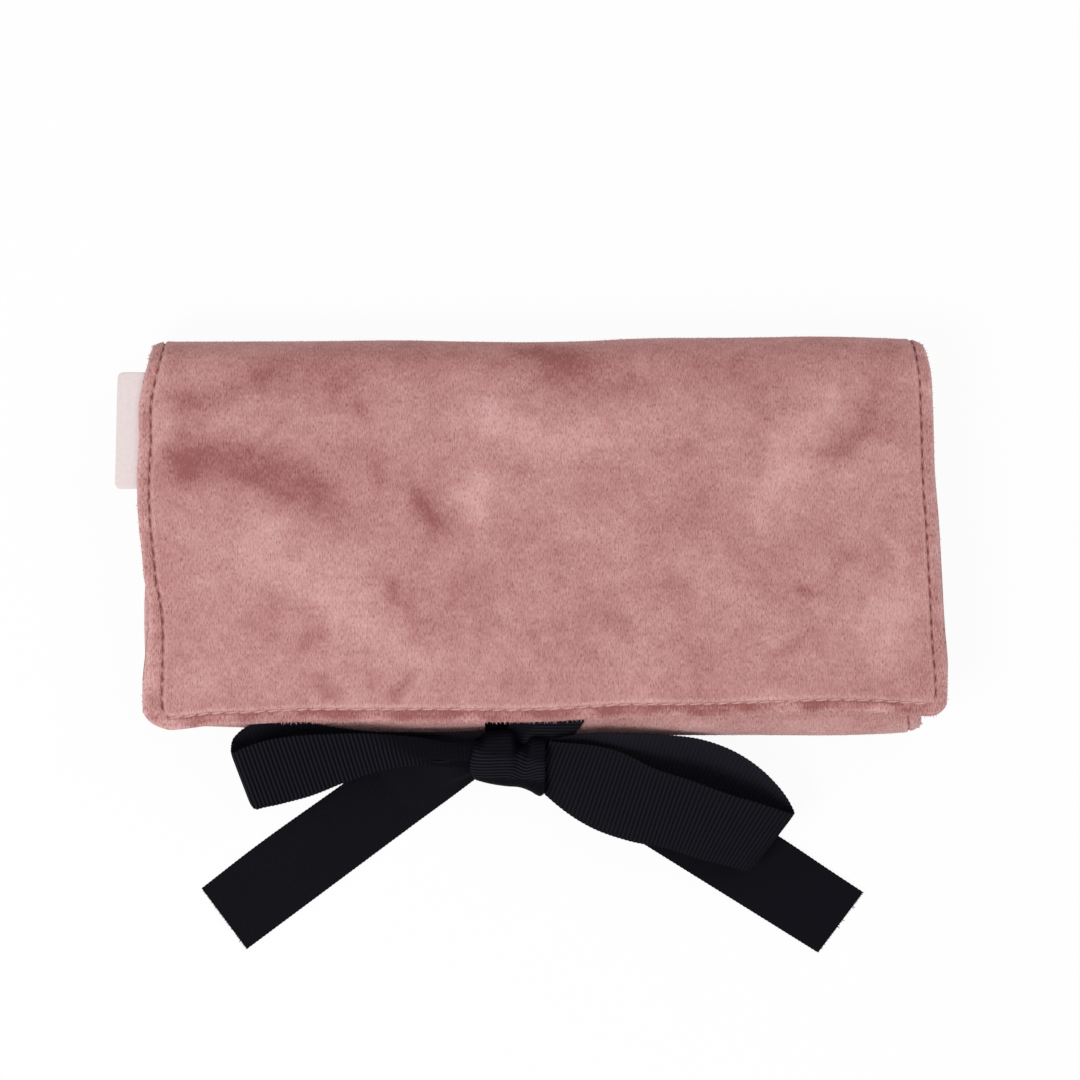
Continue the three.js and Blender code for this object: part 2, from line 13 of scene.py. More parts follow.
import bmesh
import bpy
import numpy as np
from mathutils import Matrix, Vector


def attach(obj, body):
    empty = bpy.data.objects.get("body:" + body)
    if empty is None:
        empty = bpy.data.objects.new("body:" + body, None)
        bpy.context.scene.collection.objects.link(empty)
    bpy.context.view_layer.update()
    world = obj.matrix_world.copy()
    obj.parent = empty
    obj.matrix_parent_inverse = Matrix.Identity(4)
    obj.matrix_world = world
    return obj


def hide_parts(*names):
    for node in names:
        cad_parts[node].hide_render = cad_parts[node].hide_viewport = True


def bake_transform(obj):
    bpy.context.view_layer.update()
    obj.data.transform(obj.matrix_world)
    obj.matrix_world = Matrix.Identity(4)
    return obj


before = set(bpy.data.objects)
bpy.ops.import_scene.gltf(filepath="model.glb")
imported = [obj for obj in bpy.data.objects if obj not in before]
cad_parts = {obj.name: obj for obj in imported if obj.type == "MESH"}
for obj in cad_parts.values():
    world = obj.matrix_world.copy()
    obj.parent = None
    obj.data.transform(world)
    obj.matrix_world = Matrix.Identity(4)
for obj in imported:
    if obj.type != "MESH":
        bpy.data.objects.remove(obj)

LOG = logging.getLogger("jewelry_roll")
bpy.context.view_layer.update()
MM = 0.001
TAU = 2 * math.pi

Array = np.ndarray
Pair = tuple[float, float]
Point = Colour = tuple[float, float, float]
Knots = Sequence[Pair]
Shell = tuple[Array, list[list[int]]]
Closed = tuple[Array, list[list[int]], Array]
Socket = bpy.types.NodeSocket
Given = bpy.types.NodeOutputs
Result = bpy.types.NodeInputs
Look = Callable[[Array, Array], tuple[Array, Array]]


# ---- shapes of numbers


def smooth(value: Array | float) -> Array:
    """Smoothstep of a share, held at 0 and 1 outside it."""
    share = np.clip(value, 0.0, 1.0)
    return share * share * (3 - 2 * share)


def lerp(start: Array | float, end: Array | float, share: Array | float) -> Array:
    """Straight blend from start to end."""
    return start + (end - start) * share


def bell(distance: Array | float, width: float) -> Array:
    """Soft bump that is 1 at distance 0 and falls off over width."""
    return np.exp(-((distance / width) ** 2))


def rounded(distance: Array, radius: float) -> Array:
    """Height share of a rounded edge at a distance from its rim."""
    left = 1 - np.clip(distance / radius, 0, 1)
    return np.sqrt(1 - left * left)


def through(knots: Knots, at: Array | float) -> Array:
    """Smooth curve through the knots.

    Args:
        knots: Pairs of place and value, in rising order of place.
        at: Places where the curve is wanted.

    Returns:
        The curve's values, held at the first and last knot outside them.
    """
    place, value = np.array(knots, float).T
    slope = np.gradient(value, place)
    at = np.clip(at, place[0], place[-1])
    k = np.clip(np.searchsorted(place, at, "right") - 1, 0, len(place) - 2)
    span = place[k + 1] - place[k]
    t = (at - place[k]) / span
    return (
        value[k] * (1 + 2 * t) * (1 - t) ** 2
        + slope[k] * span * t * (1 - t) ** 2
        + value[k + 1] * t * t * (3 - 2 * t)
        + slope[k + 1] * span * t * t * (t - 1)
    )


def swell(x: Array, y: Array, size: float, seed: float) -> Array:
    """Slow, even unevenness from -1 to 1 with features of about the given size."""
    a = np.sin((x * 0.83 + y * 0.55) / size + seed)
    b = np.sin((x * 0.42 - y * 0.97) / size * 1.37 + seed * 2.3 + a)
    c = np.sin((x * 0.71 + y * 1.21) / size * 0.61 - seed * 1.7 + b * 0.6)
    return (a + b + c) / 3


def steps(start: float, end: float, step: float) -> Array:
    """Even places from start to end, about a step apart, with both ends."""
    return np.linspace(start, end, max(2, round(abs(end - start) / step) + 1))


def unit(vectors: Array) -> Array:
    """The vectors at length 1."""
    return vectors / np.linalg.norm(vectors, axis=-1, keepdims=True)


def travelled(line: Array) -> Array:
    """Length run along a line at each of its points."""
    return np.concatenate([[0], np.cumsum(np.linalg.norm(np.diff(line, axis=0), axis=1))])


def banded(low: float, high: float, band: Array, step: float) -> Array:
    """Places from low to high, at a band's distances from both and a step apart between."""
    middle = steps(low + band[-1], high - band[-1], step)
    return np.concatenate([low + band[:-1], middle, high - band[-2::-1]])


# ---- meshes


def linked(name: str, data: bpy.types.ID) -> bpy.types.Object:
    """New object of the scene."""
    made = bpy.data.objects.new(name, data)
    bpy.context.scene.collection.objects.link(made)
    return made


def as_object(
    name: str,
    points: Array,
    faces: Sequence[Sequence[int]],
    finish: "Finish",
    slot: str,
    place: Array | None = None,
    tone: Array | None = None,
    crease: float = 50.0,
    ruffle: Array | None = None,
) -> bpy.types.Object:
    """Makes a closed mesh object in the scene.

    Args:
        name: The piece's name.
        points: Corners in millimetres.
        faces: Corner numbers of each face.
        finish: The finish that it wears.
        slot: The record's material slot. Not used.
        place: Flat cloth coordinates of each corner in millimetres, for weave and pile.
        tone: Brushed pile with painted light and shade at each corner, from -1 (light) to 1 (dark),
            or how light a ribbon is painted at its ribs.
        crease: Angle in degrees above which an edge is sharp.
        ruffle: How disturbed the pile is at each corner.

    Returns:
        The new object.
    """
    mesh = bpy.data.meshes.new(name)
    mesh.from_pydata((np.asarray(points) * MM).tolist(), [], [list(f) for f in faces])
    layers = (
        ("cloth_place", "FLOAT_VECTOR", "vector", points if place is None else place),
        ("tone", "FLOAT", "value", tone),
        ("ruffle", "FLOAT", "value", ruffle),
    )
    for word, kind, part, values in layers:
        if values is not None:
            layer = mesh.attributes.new(word, kind, "POINT")
            layer.data.foreach_set(part, np.asarray(values, np.float32).ravel())
    shape = bmesh.new()
    shape.from_mesh(mesh)
    bmesh.ops.recalc_face_normals(shape, faces=shape.faces)
    shape.to_mesh(mesh)
    shape.free()
    mesh.polygons.foreach_set("use_smooth", [True] * len(mesh.polygons))
    mesh.set_sharp_from_angle(angle=math.radians(crease))
    piece = linked(name, mesh)
    piece.data.materials.append(finish.material())
    LOG.info("%s: %d corners", name, len(points))
    return piece


def cloth_place(x: Array, y: Array) -> Array:
    """Flat cloth coordinates of a grid's corners, in rows of three."""
    return np.stack([x, y, 0 * x], -1).reshape(-1, 3)


def quads(columns: int, rows: int, loop: bool = False) -> Array:
    """Faces of a grid of corners that are numbered row by row within each column."""
    count = columns if loop else columns - 1
    i, j = np.meshgrid(np.arange(count), np.arange(rows - 1), indexing="ij")
    here, after = i * rows + j, (i + 1) % columns * rows + j
    return np.stack([here, after, after + 1, here + 1], -1).reshape(-1, 4)


def rings(line: Array, radius: Array | float, side: Array, up: Array, corners: int) -> Array:
    """Rings of corners round the points of a line.

    Args:
        line: Middles of the rings.
        radius: Their radius, one for all or one for each.
        side: The way to the first corner of each ring.
        up: The way to a corner a quarter turn on.
        corners: How many corners a ring has.

    Returns:
        Corners as an array of ring, corner and coordinate.
    """
    angle = (np.arange(corners) / corners * TAU)[None, :, None]
    turn = np.cos(angle) * side[:, None] + np.sin(angle) * up[:, None]
    return line[:, None] + np.reshape(radius, (-1, 1, 1)) * turn


def tube(grid: Array) -> Shell:
    """Closed tube through rings of corners, with a flat cap on each end."""
    count, corners = grid.shape[:2]
    k, c = np.meshgrid(np.arange(count - 1), np.arange(corners), indexing="ij")
    here, beside = k * corners + c, k * corners + (c + 1) % corners
    sides = np.stack([here, beside, beside + corners, here + corners], -1)
    cap = np.arange(corners)
    caps = [cap[::-1].tolist(), (cap + (count - 1) * corners).tolist()]
    return grid.reshape(-1, 3), sides.reshape(-1, 4).tolist() + caps


def sleeve(outer: Array, inner: Array) -> Shell:
    """Closed band between two grids whose columns run round a ring, with a wall at each end."""
    columns, rows = outer.shape[:2]
    total = columns * rows
    skin = quads(columns, rows, loop=True)
    faces = [list(f) for f in skin] + [[k + total for k in f[::-1]] for f in skin]
    for k in range(columns):
        after = (k + 1) % columns
        for row in (0, rows - 1):
            a, b = k * rows + row, after * rows + row
            faces.append([a, b, b + total, a + total])
    return np.concatenate([outer.reshape(-1, 3), inner.reshape(-1, 3)]), faces


def together(shells: Iterable[Shell]) -> Shell:
    """One mesh of many, each with its corners after those of the one before."""
    points, faces, first = [], [], 0
    for corners, sides in shells:
        points.append(corners)
        faces += [[c + first for c in side] for side in sides]
        first += len(corners)
    return np.concatenate(points), faces


def stacked(outer: Array, inner: Array, faces: Sequence) -> Closed:
    """Mesh of two stacked grids, without the corners that no face uses.

    Args:
        outer: Corners of the first grid.
        inner: Corners of the second, numbered after the first.
        faces: Corner numbers of each face.

    Returns:
        The corners, the faces, and the number in the stacked grids of each corner kept.
    """
    points = np.concatenate([outer.reshape(-1, 3), inner.reshape(-1, 3)])
    kept = np.unique([c for f in faces for c in f])
    order = np.full(len(points), -1)
    order[kept] = np.arange(len(kept))
    return points[kept], [[int(order[c]) for c in f] for f in faces], kept


def pillow(outer: Array, inner: Array, shut: tuple[bool, bool]) -> Closed:
    """Closed skin round two matching grids, which share the rims at their sides.

    Args:
        outer: Corners of the outer face, by column and row.
        inner: Corners of the inner face.
        shut: Whether the first and the last row close on a shared rim. A wall closes them if not.

    Returns:
        The corners, the faces, and the number in the stacked grids of each corner kept.
    """
    columns, rows = outer.shape[:2]
    number = np.arange(columns * rows).reshape(columns, rows)
    under = number + columns * rows
    under[0], under[-1] = number[0], number[-1]
    grid = quads(columns, rows)
    walls = []
    for row, on_rim in zip((0, rows - 1), shut):
        if on_rim:
            under[:, row] = number[:, row]
        else:
            near, far = number[:, row], under[:, row]
            walls += [[near[i], near[i + 1], far[i + 1], far[i]] for i in range(columns - 1)]
    faces = [list(f) for f in grid] + [list(f)[::-1] for f in under.ravel()[grid]] + walls
    faces = [list(dict.fromkeys(int(c) for c in f)) for f in faces]
    return stacked(outer, inner, [f for f in faces if len(f) > 2])


def slab(top: Array, bottom: Array, keep: Array | None = None) -> Closed:
    """Closed sheet between two matching grids, with walls round its rim and round each hole.

    Args:
        top: Corners of the upper face, by column and row.
        bottom: Corners of the lower face.
        keep: Which quads of the grid are cloth. All of them if it isn't given.

    Returns:
        The corners, the faces, and the number in the stacked grids of each corner kept.
    """
    columns, rows = top.shape[:2]
    total = columns * rows
    grid = quads(columns, rows)
    if keep is not None:
        grid = grid[keep.ravel()]
    faces = [list(f) for f in grid] + [[c + total for c in f[::-1]] for f in grid]
    edges = {}
    for f in grid:
        for a, b in zip(f, np.roll(f, -1)):
            key = (min(a, b), max(a, b))
            edges[key] = None if key in edges else (a, b)
    for a, b in filter(None, edges.values()):
        faces.append([b, a, a + total, b + total])
    return stacked(top, bottom, faces)


def laid(x: Array, y: Array, top: Array, bottom: Array, keep: Array | None = None) -> Closed:
    """Slab over points x and y, between two heights."""
    return slab(*(np.stack([x, y, z + 0 * x], -1) for z in (top, bottom)), keep)


def on_both(values: Array, kept: Array) -> Array:
    """The values of a grid for both faces of a sheet made from it, at its kept corners."""
    return np.concatenate([values, values])[kept]


# ---- shader nodes


class Canvas:
    """Adds and joins the nodes of one tree."""

    def __init__(self, tree: bpy.types.NodeTree) -> None:
        """Takes the tree to draw on."""
        self.tree = tree

    @classmethod
    def blank(cls, owner: bpy.types.Material | bpy.types.World) -> "Canvas":
        """An empty canvas for a material or a world."""
        owner.use_nodes = True
        owner.node_tree.nodes.clear()
        return cls(owner.node_tree)

    def plug(self, socket: Socket, value: object) -> None:
        """Joins an output to a socket, or sets the socket's own value."""
        if isinstance(value, bpy.types.NodeSocket):
            self.tree.links.new(value, socket)
        elif isinstance(value, tuple) and len(value) == 3 and socket.type == "RGBA":
            socket.default_value = (*value, 1.0)
        else:
            socket.default_value = value

    def add(self, kind: str, plugs: dict | None = None, **settings: object) -> bpy.types.Node:
        """Adds a node.

        Args:
            kind: Blender's name of the node's type, less its first word.
            plugs: Values or outputs for its inputs, by name or number.
            **settings: The node's own properties.

        Returns:
            The new node.
        """
        node = self.tree.nodes.new(kind if kind.startswith("Node") else f"ShaderNode{kind}")
        for key, value in settings.items():
            setattr(node, key, value)
        for key, value in (plugs or {}).items():
            self.plug(node.inputs[key], value)
        return node

    def sum(self, operation: str, *values: object) -> Socket:
        """Output of a Math node on the values."""
        return self.add("Math", dict(enumerate(values)), operation=operation).outputs[0]

    def held(self, value: Socket) -> Socket:
        """The value, held between 0 and 1."""
        return self.sum("MINIMUM", self.sum("MAXIMUM", value, 0.0), 1.0)

    def mark(self, layer: str) -> Socket:
        """What the mesh holds at each corner under a name."""
        outputs = self.add("Attribute", attribute_name=layer).outputs
        return outputs["Vector" if layer == "cloth_place" else "Fac"]

    def own_place(self) -> Socket:
        """The part's own coordinates in millimetres."""
        own = self.add("TexCoord").outputs["Object"]
        return self.stretch(own, (1 / MM, 1 / MM, 1 / MM))

    def noise(
        self, vector: Socket, scale: float, detail: float = 3.0, rough: float = 0.55
    ) -> Socket:
        """Value of a Noise Texture at a vector in millimetres."""
        plugs = {"Vector": vector, "Scale": scale, "Detail": detail, "Roughness": rough}
        return self.add("TexNoise", plugs).outputs[0]

    def uneven(self, *settings: object) -> Socket:
        """A noise about 0, from the same settings."""
        return self.sum("SUBTRACT", self.noise(*settings), 0.5)

    def stretch(self, vector: Socket, scale: Point) -> Socket:
        """The vector with each part times its scale."""
        plugs = {0: vector, 1: scale}
        return self.add("VectorMath", plugs, operation="MULTIPLY").outputs[0]

    def ramp(self, value: Socket, low: float, high: float, to: Pair = (0.0, 1.0)) -> Socket:
        """The value mapped smoothly from low..high."""
        plugs = {
            "Value": value, "From Min": low, "From Max": high, "To Min": to[0], "To Max": to[1],
        }
        return self.add("MapRange", plugs, interpolation_type="SMOOTHSTEP").outputs[0]

    def blend(self, share: object, first: object, second: object) -> Socket:
        """Colour between two colours."""
        node = self.add("Mix", data_type="RGBA")
        for name, value in (("Factor_Float", share), ("A_Color", first), ("B_Color", second)):
            socket = next(s for s in node.inputs if s.identifier == name)
            self.plug(socket, value)
        return next(s for s in node.outputs if s.identifier == "Result_Color")


class Effect:
    """A shader node group that several finishes use. It is built once."""

    title = "effect"
    inputs: tuple[tuple[str, object], ...] = ()
    outputs: tuple[tuple[str, str], ...] = ()

    @classmethod
    def tree(cls) -> bpy.types.NodeTree:
        """The group's tree, drawn on first use."""
        found = bpy.data.node_groups.get(cls.title)
        if found is not None:
            return found
        tree = bpy.data.node_groups.new(cls.title, "ShaderNodeTree")
        for name, value in cls.inputs:
            colour = isinstance(value, tuple)
            kind = "NodeSocketColor" if colour else "NodeSocketFloat"
            socket = tree.interface.new_socket(name, in_out="INPUT", socket_type=kind)
            socket.default_value = (*value, 1.0) if colour else value
        for name, kind in cls.outputs:
            tree.interface.new_socket(name, in_out="OUTPUT", socket_type=f"NodeSocket{kind}")
        canvas = Canvas(tree)
        cls.draw(canvas, canvas.add("NodeGroupInput").outputs, canvas.add("NodeGroupOutput").inputs)
        return tree

    @classmethod
    def draw(cls, canvas: Canvas, given: Given, result: Result) -> None:
        """Draws the nodes between the group's inputs and outputs."""
        raise NotImplementedError

    @classmethod
    def put(cls, canvas: Canvas, **values: object) -> Given:
        """Places the group in a material with its own values."""
        node = canvas.add("Group", node_tree=cls.tree())
        for name, value in values.items():
            canvas.plug(node.inputs[name.replace("_", " ").title()], value)
        return node.outputs


class Pile(Effect):
    """Velvet pile: brushed patches, fine upright streaks and a worn tone, and the painted light and
    shade that its tone attribute carries.
    """

    title = "velvet pile"
    inputs = (
        ("Shade", (0.3, 0.1, 0.1)), ("Body", (0.5, 0.25, 0.23)), ("Bright", (0.6, 0.32, 0.3)),
        ("Streak", 0.5), ("Patches", 0.5),
    )
    outputs = (("Colour", "Color"), ("Height", "Float"), ("Roughness", "Float"))

    # scale per millimetre, detail and roughness of the two broad noises
    cloud = (0.05, 4.0, 0.62)
    mottle = (0.24, 3.0, 0.6)
    # scale along each way of the cloth, detail and roughness of the three fine ones
    streak = ((2.2, 0.45, 1.2), 2.0, 0.7)
    fleck = ((2.7, 0.8, 2.0), 1.0, 0.5)
    tuft = ((2.3, 1.0, 1.6), 0.0, 0.5)

    @classmethod
    def draw(cls, canvas: Canvas, given: Given, result: Result) -> None:
        """Mixes three tones by brushed nap with its painted edge light and shade, clouds and
        streaks.
        """
        # nap is the tone attribute: brushed pile with painted shade and painted light along the
        # sewn edges
        place, nap, ruffle = (canvas.mark(layer) for layer in ("cloth_place", "tone", "ruffle"))
        cloud, mottle = (canvas.uneven(place, *part) for part in (cls.cloud, cls.mottle))
        streak, fleck = (
            canvas.uneven(canvas.stretch(place, scale), 1.0, *rest)
            for scale, *rest in (cls.streak, cls.fleck)
        )
        tuft = canvas.noise(canvas.stretch(place, cls.tuft[0]), 1.0, *cls.tuft[1:])
        dark = canvas.ramp(tuft, 0.36, 0.24)
        light = canvas.ramp(tuft, 0.64, 0.76)
        speck = canvas.sum("SUBTRACT", dark, light)
        patch = canvas.sum("MULTIPLY_ADD", cloud, 1.5, nap)
        patch = canvas.sum("MULTIPLY", canvas.sum("ADD", mottle, patch), given["Patches"])
        grain = canvas.sum("MULTIPLY_ADD", fleck, 1.15, streak)
        grain = canvas.sum("MULTIPLY_ADD", speck, 0.32, grain)
        rough = canvas.sum("MULTIPLY_ADD", canvas.sum("MULTIPLY", grain, ruffle), 0.5, grain)
        tone = canvas.sum("MULTIPLY_ADD", rough, given["Streak"], patch)
        dark, light = canvas.held(tone), canvas.held(canvas.sum("MULTIPLY", tone, -1.0))
        colour = canvas.blend(light, given["Body"], given["Bright"])
        canvas.plug(result["Colour"], canvas.blend(dark, colour, given["Shade"]))
        canvas.plug(result["Height"], canvas.sum("SUBTRACT", 0.5, grain))
        canvas.plug(result["Roughness"], canvas.ramp(tone, -0.6, 0.6, (0.8, 0.98)))


class Weave(Effect):
    """Woven cloth: two sets of threads over each other, with uneven yarn."""

    title = "woven threads"
    inputs = (("Across", 3.0), ("Along", 3.0), ("Twill", 0.0), ("Uneven", 0.3))
    outputs = (("Height", "Float"), ("Mask", "Float"))

    @classmethod
    def draw(cls, canvas: Canvas, given: Given, result: Result) -> None:
        """Crosses two sine waves, each pushed about by noise."""
        place = canvas.mark("cloth_place")
        parts = canvas.add("SeparateXYZ", {0: place}).outputs
        yarn = canvas.uneven(place, 0.9)
        drift = canvas.sum("MULTIPLY", yarn, given["Uneven"])
        slant = canvas.sum("MULTIPLY_ADD", parts[1], given["Twill"], parts[0])
        waves = []
        for coordinate, count in ((slant, given["Across"]), (parts[1], given["Along"])):
            turns = canvas.sum("MULTIPLY_ADD", coordinate, count, drift)
            waves.append(canvas.sum("SINE", canvas.sum("MULTIPLY", turns, TAU)))
        crossed = canvas.sum("MULTIPLY", *waves)
        canvas.plug(result["Height"], canvas.sum("MULTIPLY_ADD", crossed, 0.5, 0.5))
        canvas.plug(result["Mask"], canvas.sum("ADD", yarn, 0.5))


class Handling(Effect):
    """Wear of a metal part: fine scratches, dull fingered patches and tarnish."""

    title = "handled metal"
    inputs = (("Scratches", 0.5), ("Dullness", 0.3))
    outputs = (("Roughness", "Float"), ("Height", "Float"), ("Tarnish", "Float"))

    @classmethod
    def draw(cls, canvas: Canvas, given: Given, result: Result) -> None:
        """Reads noise at the part's own coordinates."""
        place = canvas.own_place()
        hairline = canvas.noise(canvas.stretch(place, (0.5, 6.0, 6.0)), 1.0, 2.0)
        film = canvas.noise(place, 0.5, 4.0)
        scratch = canvas.sum("MULTIPLY", hairline, given["Scratches"])
        dull = canvas.sum("MULTIPLY_ADD", film, given["Dullness"], 0.08)
        canvas.plug(result["Roughness"], canvas.sum("MULTIPLY_ADD", scratch, 0.2, dull))
        canvas.plug(result["Height"], scratch)
        canvas.plug(result["Tarnish"], canvas.ramp(film, 0.45, 0.75))


@dataclass(frozen=True)
class Finish:
    """One named finish. Its material is made on first use."""

    title: str

    def material(self) -> bpy.types.Material:
        """The Blender material of this finish."""
        found = bpy.data.materials.get(self.title)
        if found is not None:
            return found
        made = bpy.data.materials.new(self.title)
        canvas = Canvas.blank(made)
        shader = canvas.add("BsdfPrincipled")
        canvas.add("OutputMaterial", {"Surface": shader.outputs[0]})
        self.paint(canvas, shader)
        return made

    def paint(self, canvas: Canvas, shader: bpy.types.Node) -> None:
        """Sets and feeds the shader's sockets."""
        raise NotImplementedError

    @staticmethod
    def feed(
        canvas: Canvas, shader: bpy.types.Node, colour: Socket, rough: Socket,
        relief: tuple[Socket, float, float],
    ) -> None:
        """Feeds what changes over the surface to the shader.

        Args:
            canvas: The material's canvas.
            shader: Its shader.
            colour: The colour.
            rough: The roughness.
            relief: A height, what 1 of it stands for in millimetres, and its strength.
        """
        height, depth, strength = relief
        plugs = {"Height": height, "Strength": strength, "Distance": depth * MM}
        bump = canvas.add("Bump", plugs).outputs[0]
        for name, value in (("Base Color", colour), ("Roughness", rough), ("Normal", bump)):
            canvas.plug(shader.inputs[name], value)

    @staticmethod
    def sockets(shader: bpy.types.Node, **values: object) -> None:
        """Sets sockets of the shader that are the same all over."""
        for name, value in values.items():
            socket = shader.inputs[name.replace("_", " ").title().replace("Ior", "IOR")]
            socket.default_value = (*value, 1.0) if isinstance(value, tuple) else value


@dataclass(frozen=True)
class Velvet(Finish):
    """Dusty rose velvet."""

    shade: Colour = (0.32, 0.113, 0.106)
    body: Colour = (0.537, 0.262, 0.25)
    bright: Colour = (0.75, 0.45, 0.435)
    streak: float = 1.06
    patches: float = 0.9

    def paint(self, canvas: Canvas, shader: bpy.types.Node) -> None:
        """Pile colour, streaky relief and a soft sheen."""
        pile = Pile.put(
            canvas, shade=self.shade, body=self.body, bright=self.bright,
            streak=self.streak, patches=self.patches,
        )
        self.feed(canvas, shader, pile["Colour"], pile["Roughness"], (pile["Height"], 0.45, 0.8))
        self.sockets(
            shader, sheen_weight=0.2, sheen_roughness=0.4, sheen_tint=(0.95, 0.78, 0.77),
            specular_ior_level=0.12,
        )


@dataclass(frozen=True)
class Woven(Finish):
    """Plain or satin woven cloth."""

    body: Colour
    deep: Colour
    across: float
    along: float
    twill: float
    depth: float
    sheen: float
    rough: float

    def paint(self, canvas: Canvas, shader: bpy.types.Node) -> None:
        """Threads in colour and relief."""
        weave = Weave.put(
            canvas, across=self.across, along=self.along, twill=self.twill, uneven=0.35
        )
        tone = canvas.sum("MULTIPLY", weave["Height"], weave["Mask"])
        share = canvas.ramp(tone, 0.0, 0.75, (1.0, 0.0))
        colour = canvas.blend(share, self.body, self.deep)
        rough = canvas.ramp(weave["Mask"], 0.2, 0.8, (self.rough - 0.1, self.rough + 0.1))
        self.feed(canvas, shader, colour, rough, (weave["Height"], self.depth, 0.6))
        self.sockets(
            shader, sheen_weight=self.sheen, sheen_roughness=0.35, specular_ior_level=0.35
        )


@dataclass(frozen=True)
class Grosgrain(Finish):
    """Black ribbed ribbon. Its ribs are real, and this adds the yarn on them and their painted
    light and shade.
    """

    # body is a rib's painted highlight at full tone, deep the painted shade in grooves and shaded
    # parts
    body: Colour = (0.018, 0.0175, 0.024)
    deep: Colour = (0.001, 0.0009, 0.0022)

    def paint(self, canvas: Canvas, shader: bpy.types.Node) -> None:
        """Fine yarn across the ribs, with painted highlights on their backs and painted shade
        between.
        """
        weave = Weave.put(canvas, across=5.2, along=1.6, twill=0.0, uneven=0.5)
        yarn = canvas.sum("MULTIPLY_ADD", weave["Height"], 0.5, 0.75)
        # the tone attribute holds the painted rib highlights and painted shade
        light = canvas.sum("MULTIPLY", canvas.mark("tone"), yarn)
        colour = canvas.blend(light, self.deep, self.body)
        rough = canvas.ramp(weave["Mask"], 0.2, 0.8, (0.5, 0.68))
        self.feed(canvas, shader, colour, rough, (weave["Height"], 0.05, 0.5))
        self.sockets(shader, specular_ior_level=0.02)


@dataclass(frozen=True)
class Moulded(Finish):
    """Moulded nylon of the zip coils."""

    body: Colour = (0.34, 0.15, 0.14)
    deep: Colour = (0.255, 0.1125, 0.105)

    def paint(self, canvas: Canvas, shader: bpy.types.Node) -> None:
        """Slightly cloudy plastic."""
        cloud = canvas.noise(canvas.own_place(), 0.8)
        colour = canvas.blend(cloud, self.deep, self.body)
        rough = canvas.ramp(cloud, 0.3, 0.7, (0.34, 0.5))
        self.feed(canvas, shader, colour, rough, (cloud, 0.03, 0.4))
        self.sockets(shader, specular_ior_level=0.5)


@dataclass(frozen=True)
class Brass(Finish):
    """Pale gold plated metal with handling wear."""

    body: Colour = (0.74, 0.53, 0.32)
    worn: Colour = (0.52, 0.35, 0.2)

    def paint(self, canvas: Canvas, shader: bpy.types.Node) -> None:
        """Metal with scratches and a film of tarnish."""
        wear = Handling.put(canvas, scratches=0.5, dullness=0.28)
        colour = canvas.blend(wear["Tarnish"], self.body, self.worn)
        self.feed(canvas, shader, colour, wear["Roughness"], (wear["Height"], 0.03, 0.3))
        self.sockets(shader, metallic=1.0)


VELVET = Velvet("rose velvet")
BAR_VELVET = Velvet("ring bar velvet", streak=0.7, patches=0.5)
LINING = Woven(
    "satin lining", (0.55, 0.31, 0.29), (0.42, 0.2, 0.185), 2.6, 3.4, 0.5, 0.05, 0.3, 0.5
)
TAPE = Woven("zip tape", (0.44, 0.2, 0.185), (0.3, 0.115, 0.105), 1.9, 1.9, 1.0, 0.08, 0.15, 0.8)
LABEL = Woven(
    "label satin", (0.83, 0.73, 0.725), (0.7, 0.6, 0.595), 4.5, 1.9, 0.0, 0.03, 0.2, 0.45
)
THREAD = Woven(
    "sewing thread", (0.8, 0.52, 0.5), (0.52, 0.27, 0.25), 5.0, 3.0, 1.0, 0.06, 0.2, 0.6
)
RIBBON = Grosgrain("black grosgrain")
NYLON = Moulded("zip nylon")
BRASS = Brass("pale brass")


# ---- the rolled cloth


@dataclass(frozen=True)
class Fold:
    """Half round that the cloth turns over, from its lower tangent (angle 0) to its upper (pi)."""

    side: int
    hinges: int
    radius: float
    y: float

    def hinge(self, index: int) -> float:
        """Angle of a hinge, counted from the back panel."""
        return math.pi * (index + 0.5) / self.hinges

    def middle(self, index: int) -> float:
        """Angle of the middle of a strip, counted from the back panel's own (0)."""
        return math.pi * index / self.hinges


@dataclass(frozen=True)
class Span:
    """Length of cloth that bends over one hinge, between the middles of two strips."""

    name: str
    start: float
    end: float
    bodies: tuple[str, str]
    bend_start: Point
    bend_end: Point
    covers: tuple[str, ...]
    linings: tuple[str, ...]

    def carry(self, piece: bpy.types.Object) -> None:
        """Bakes the piece's transform into its mesh."""
        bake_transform(piece)


class Face(Enum):
    """Which side of the padded cloth a thing lies on."""

    OUTER = "outer"
    INNER = "inner"


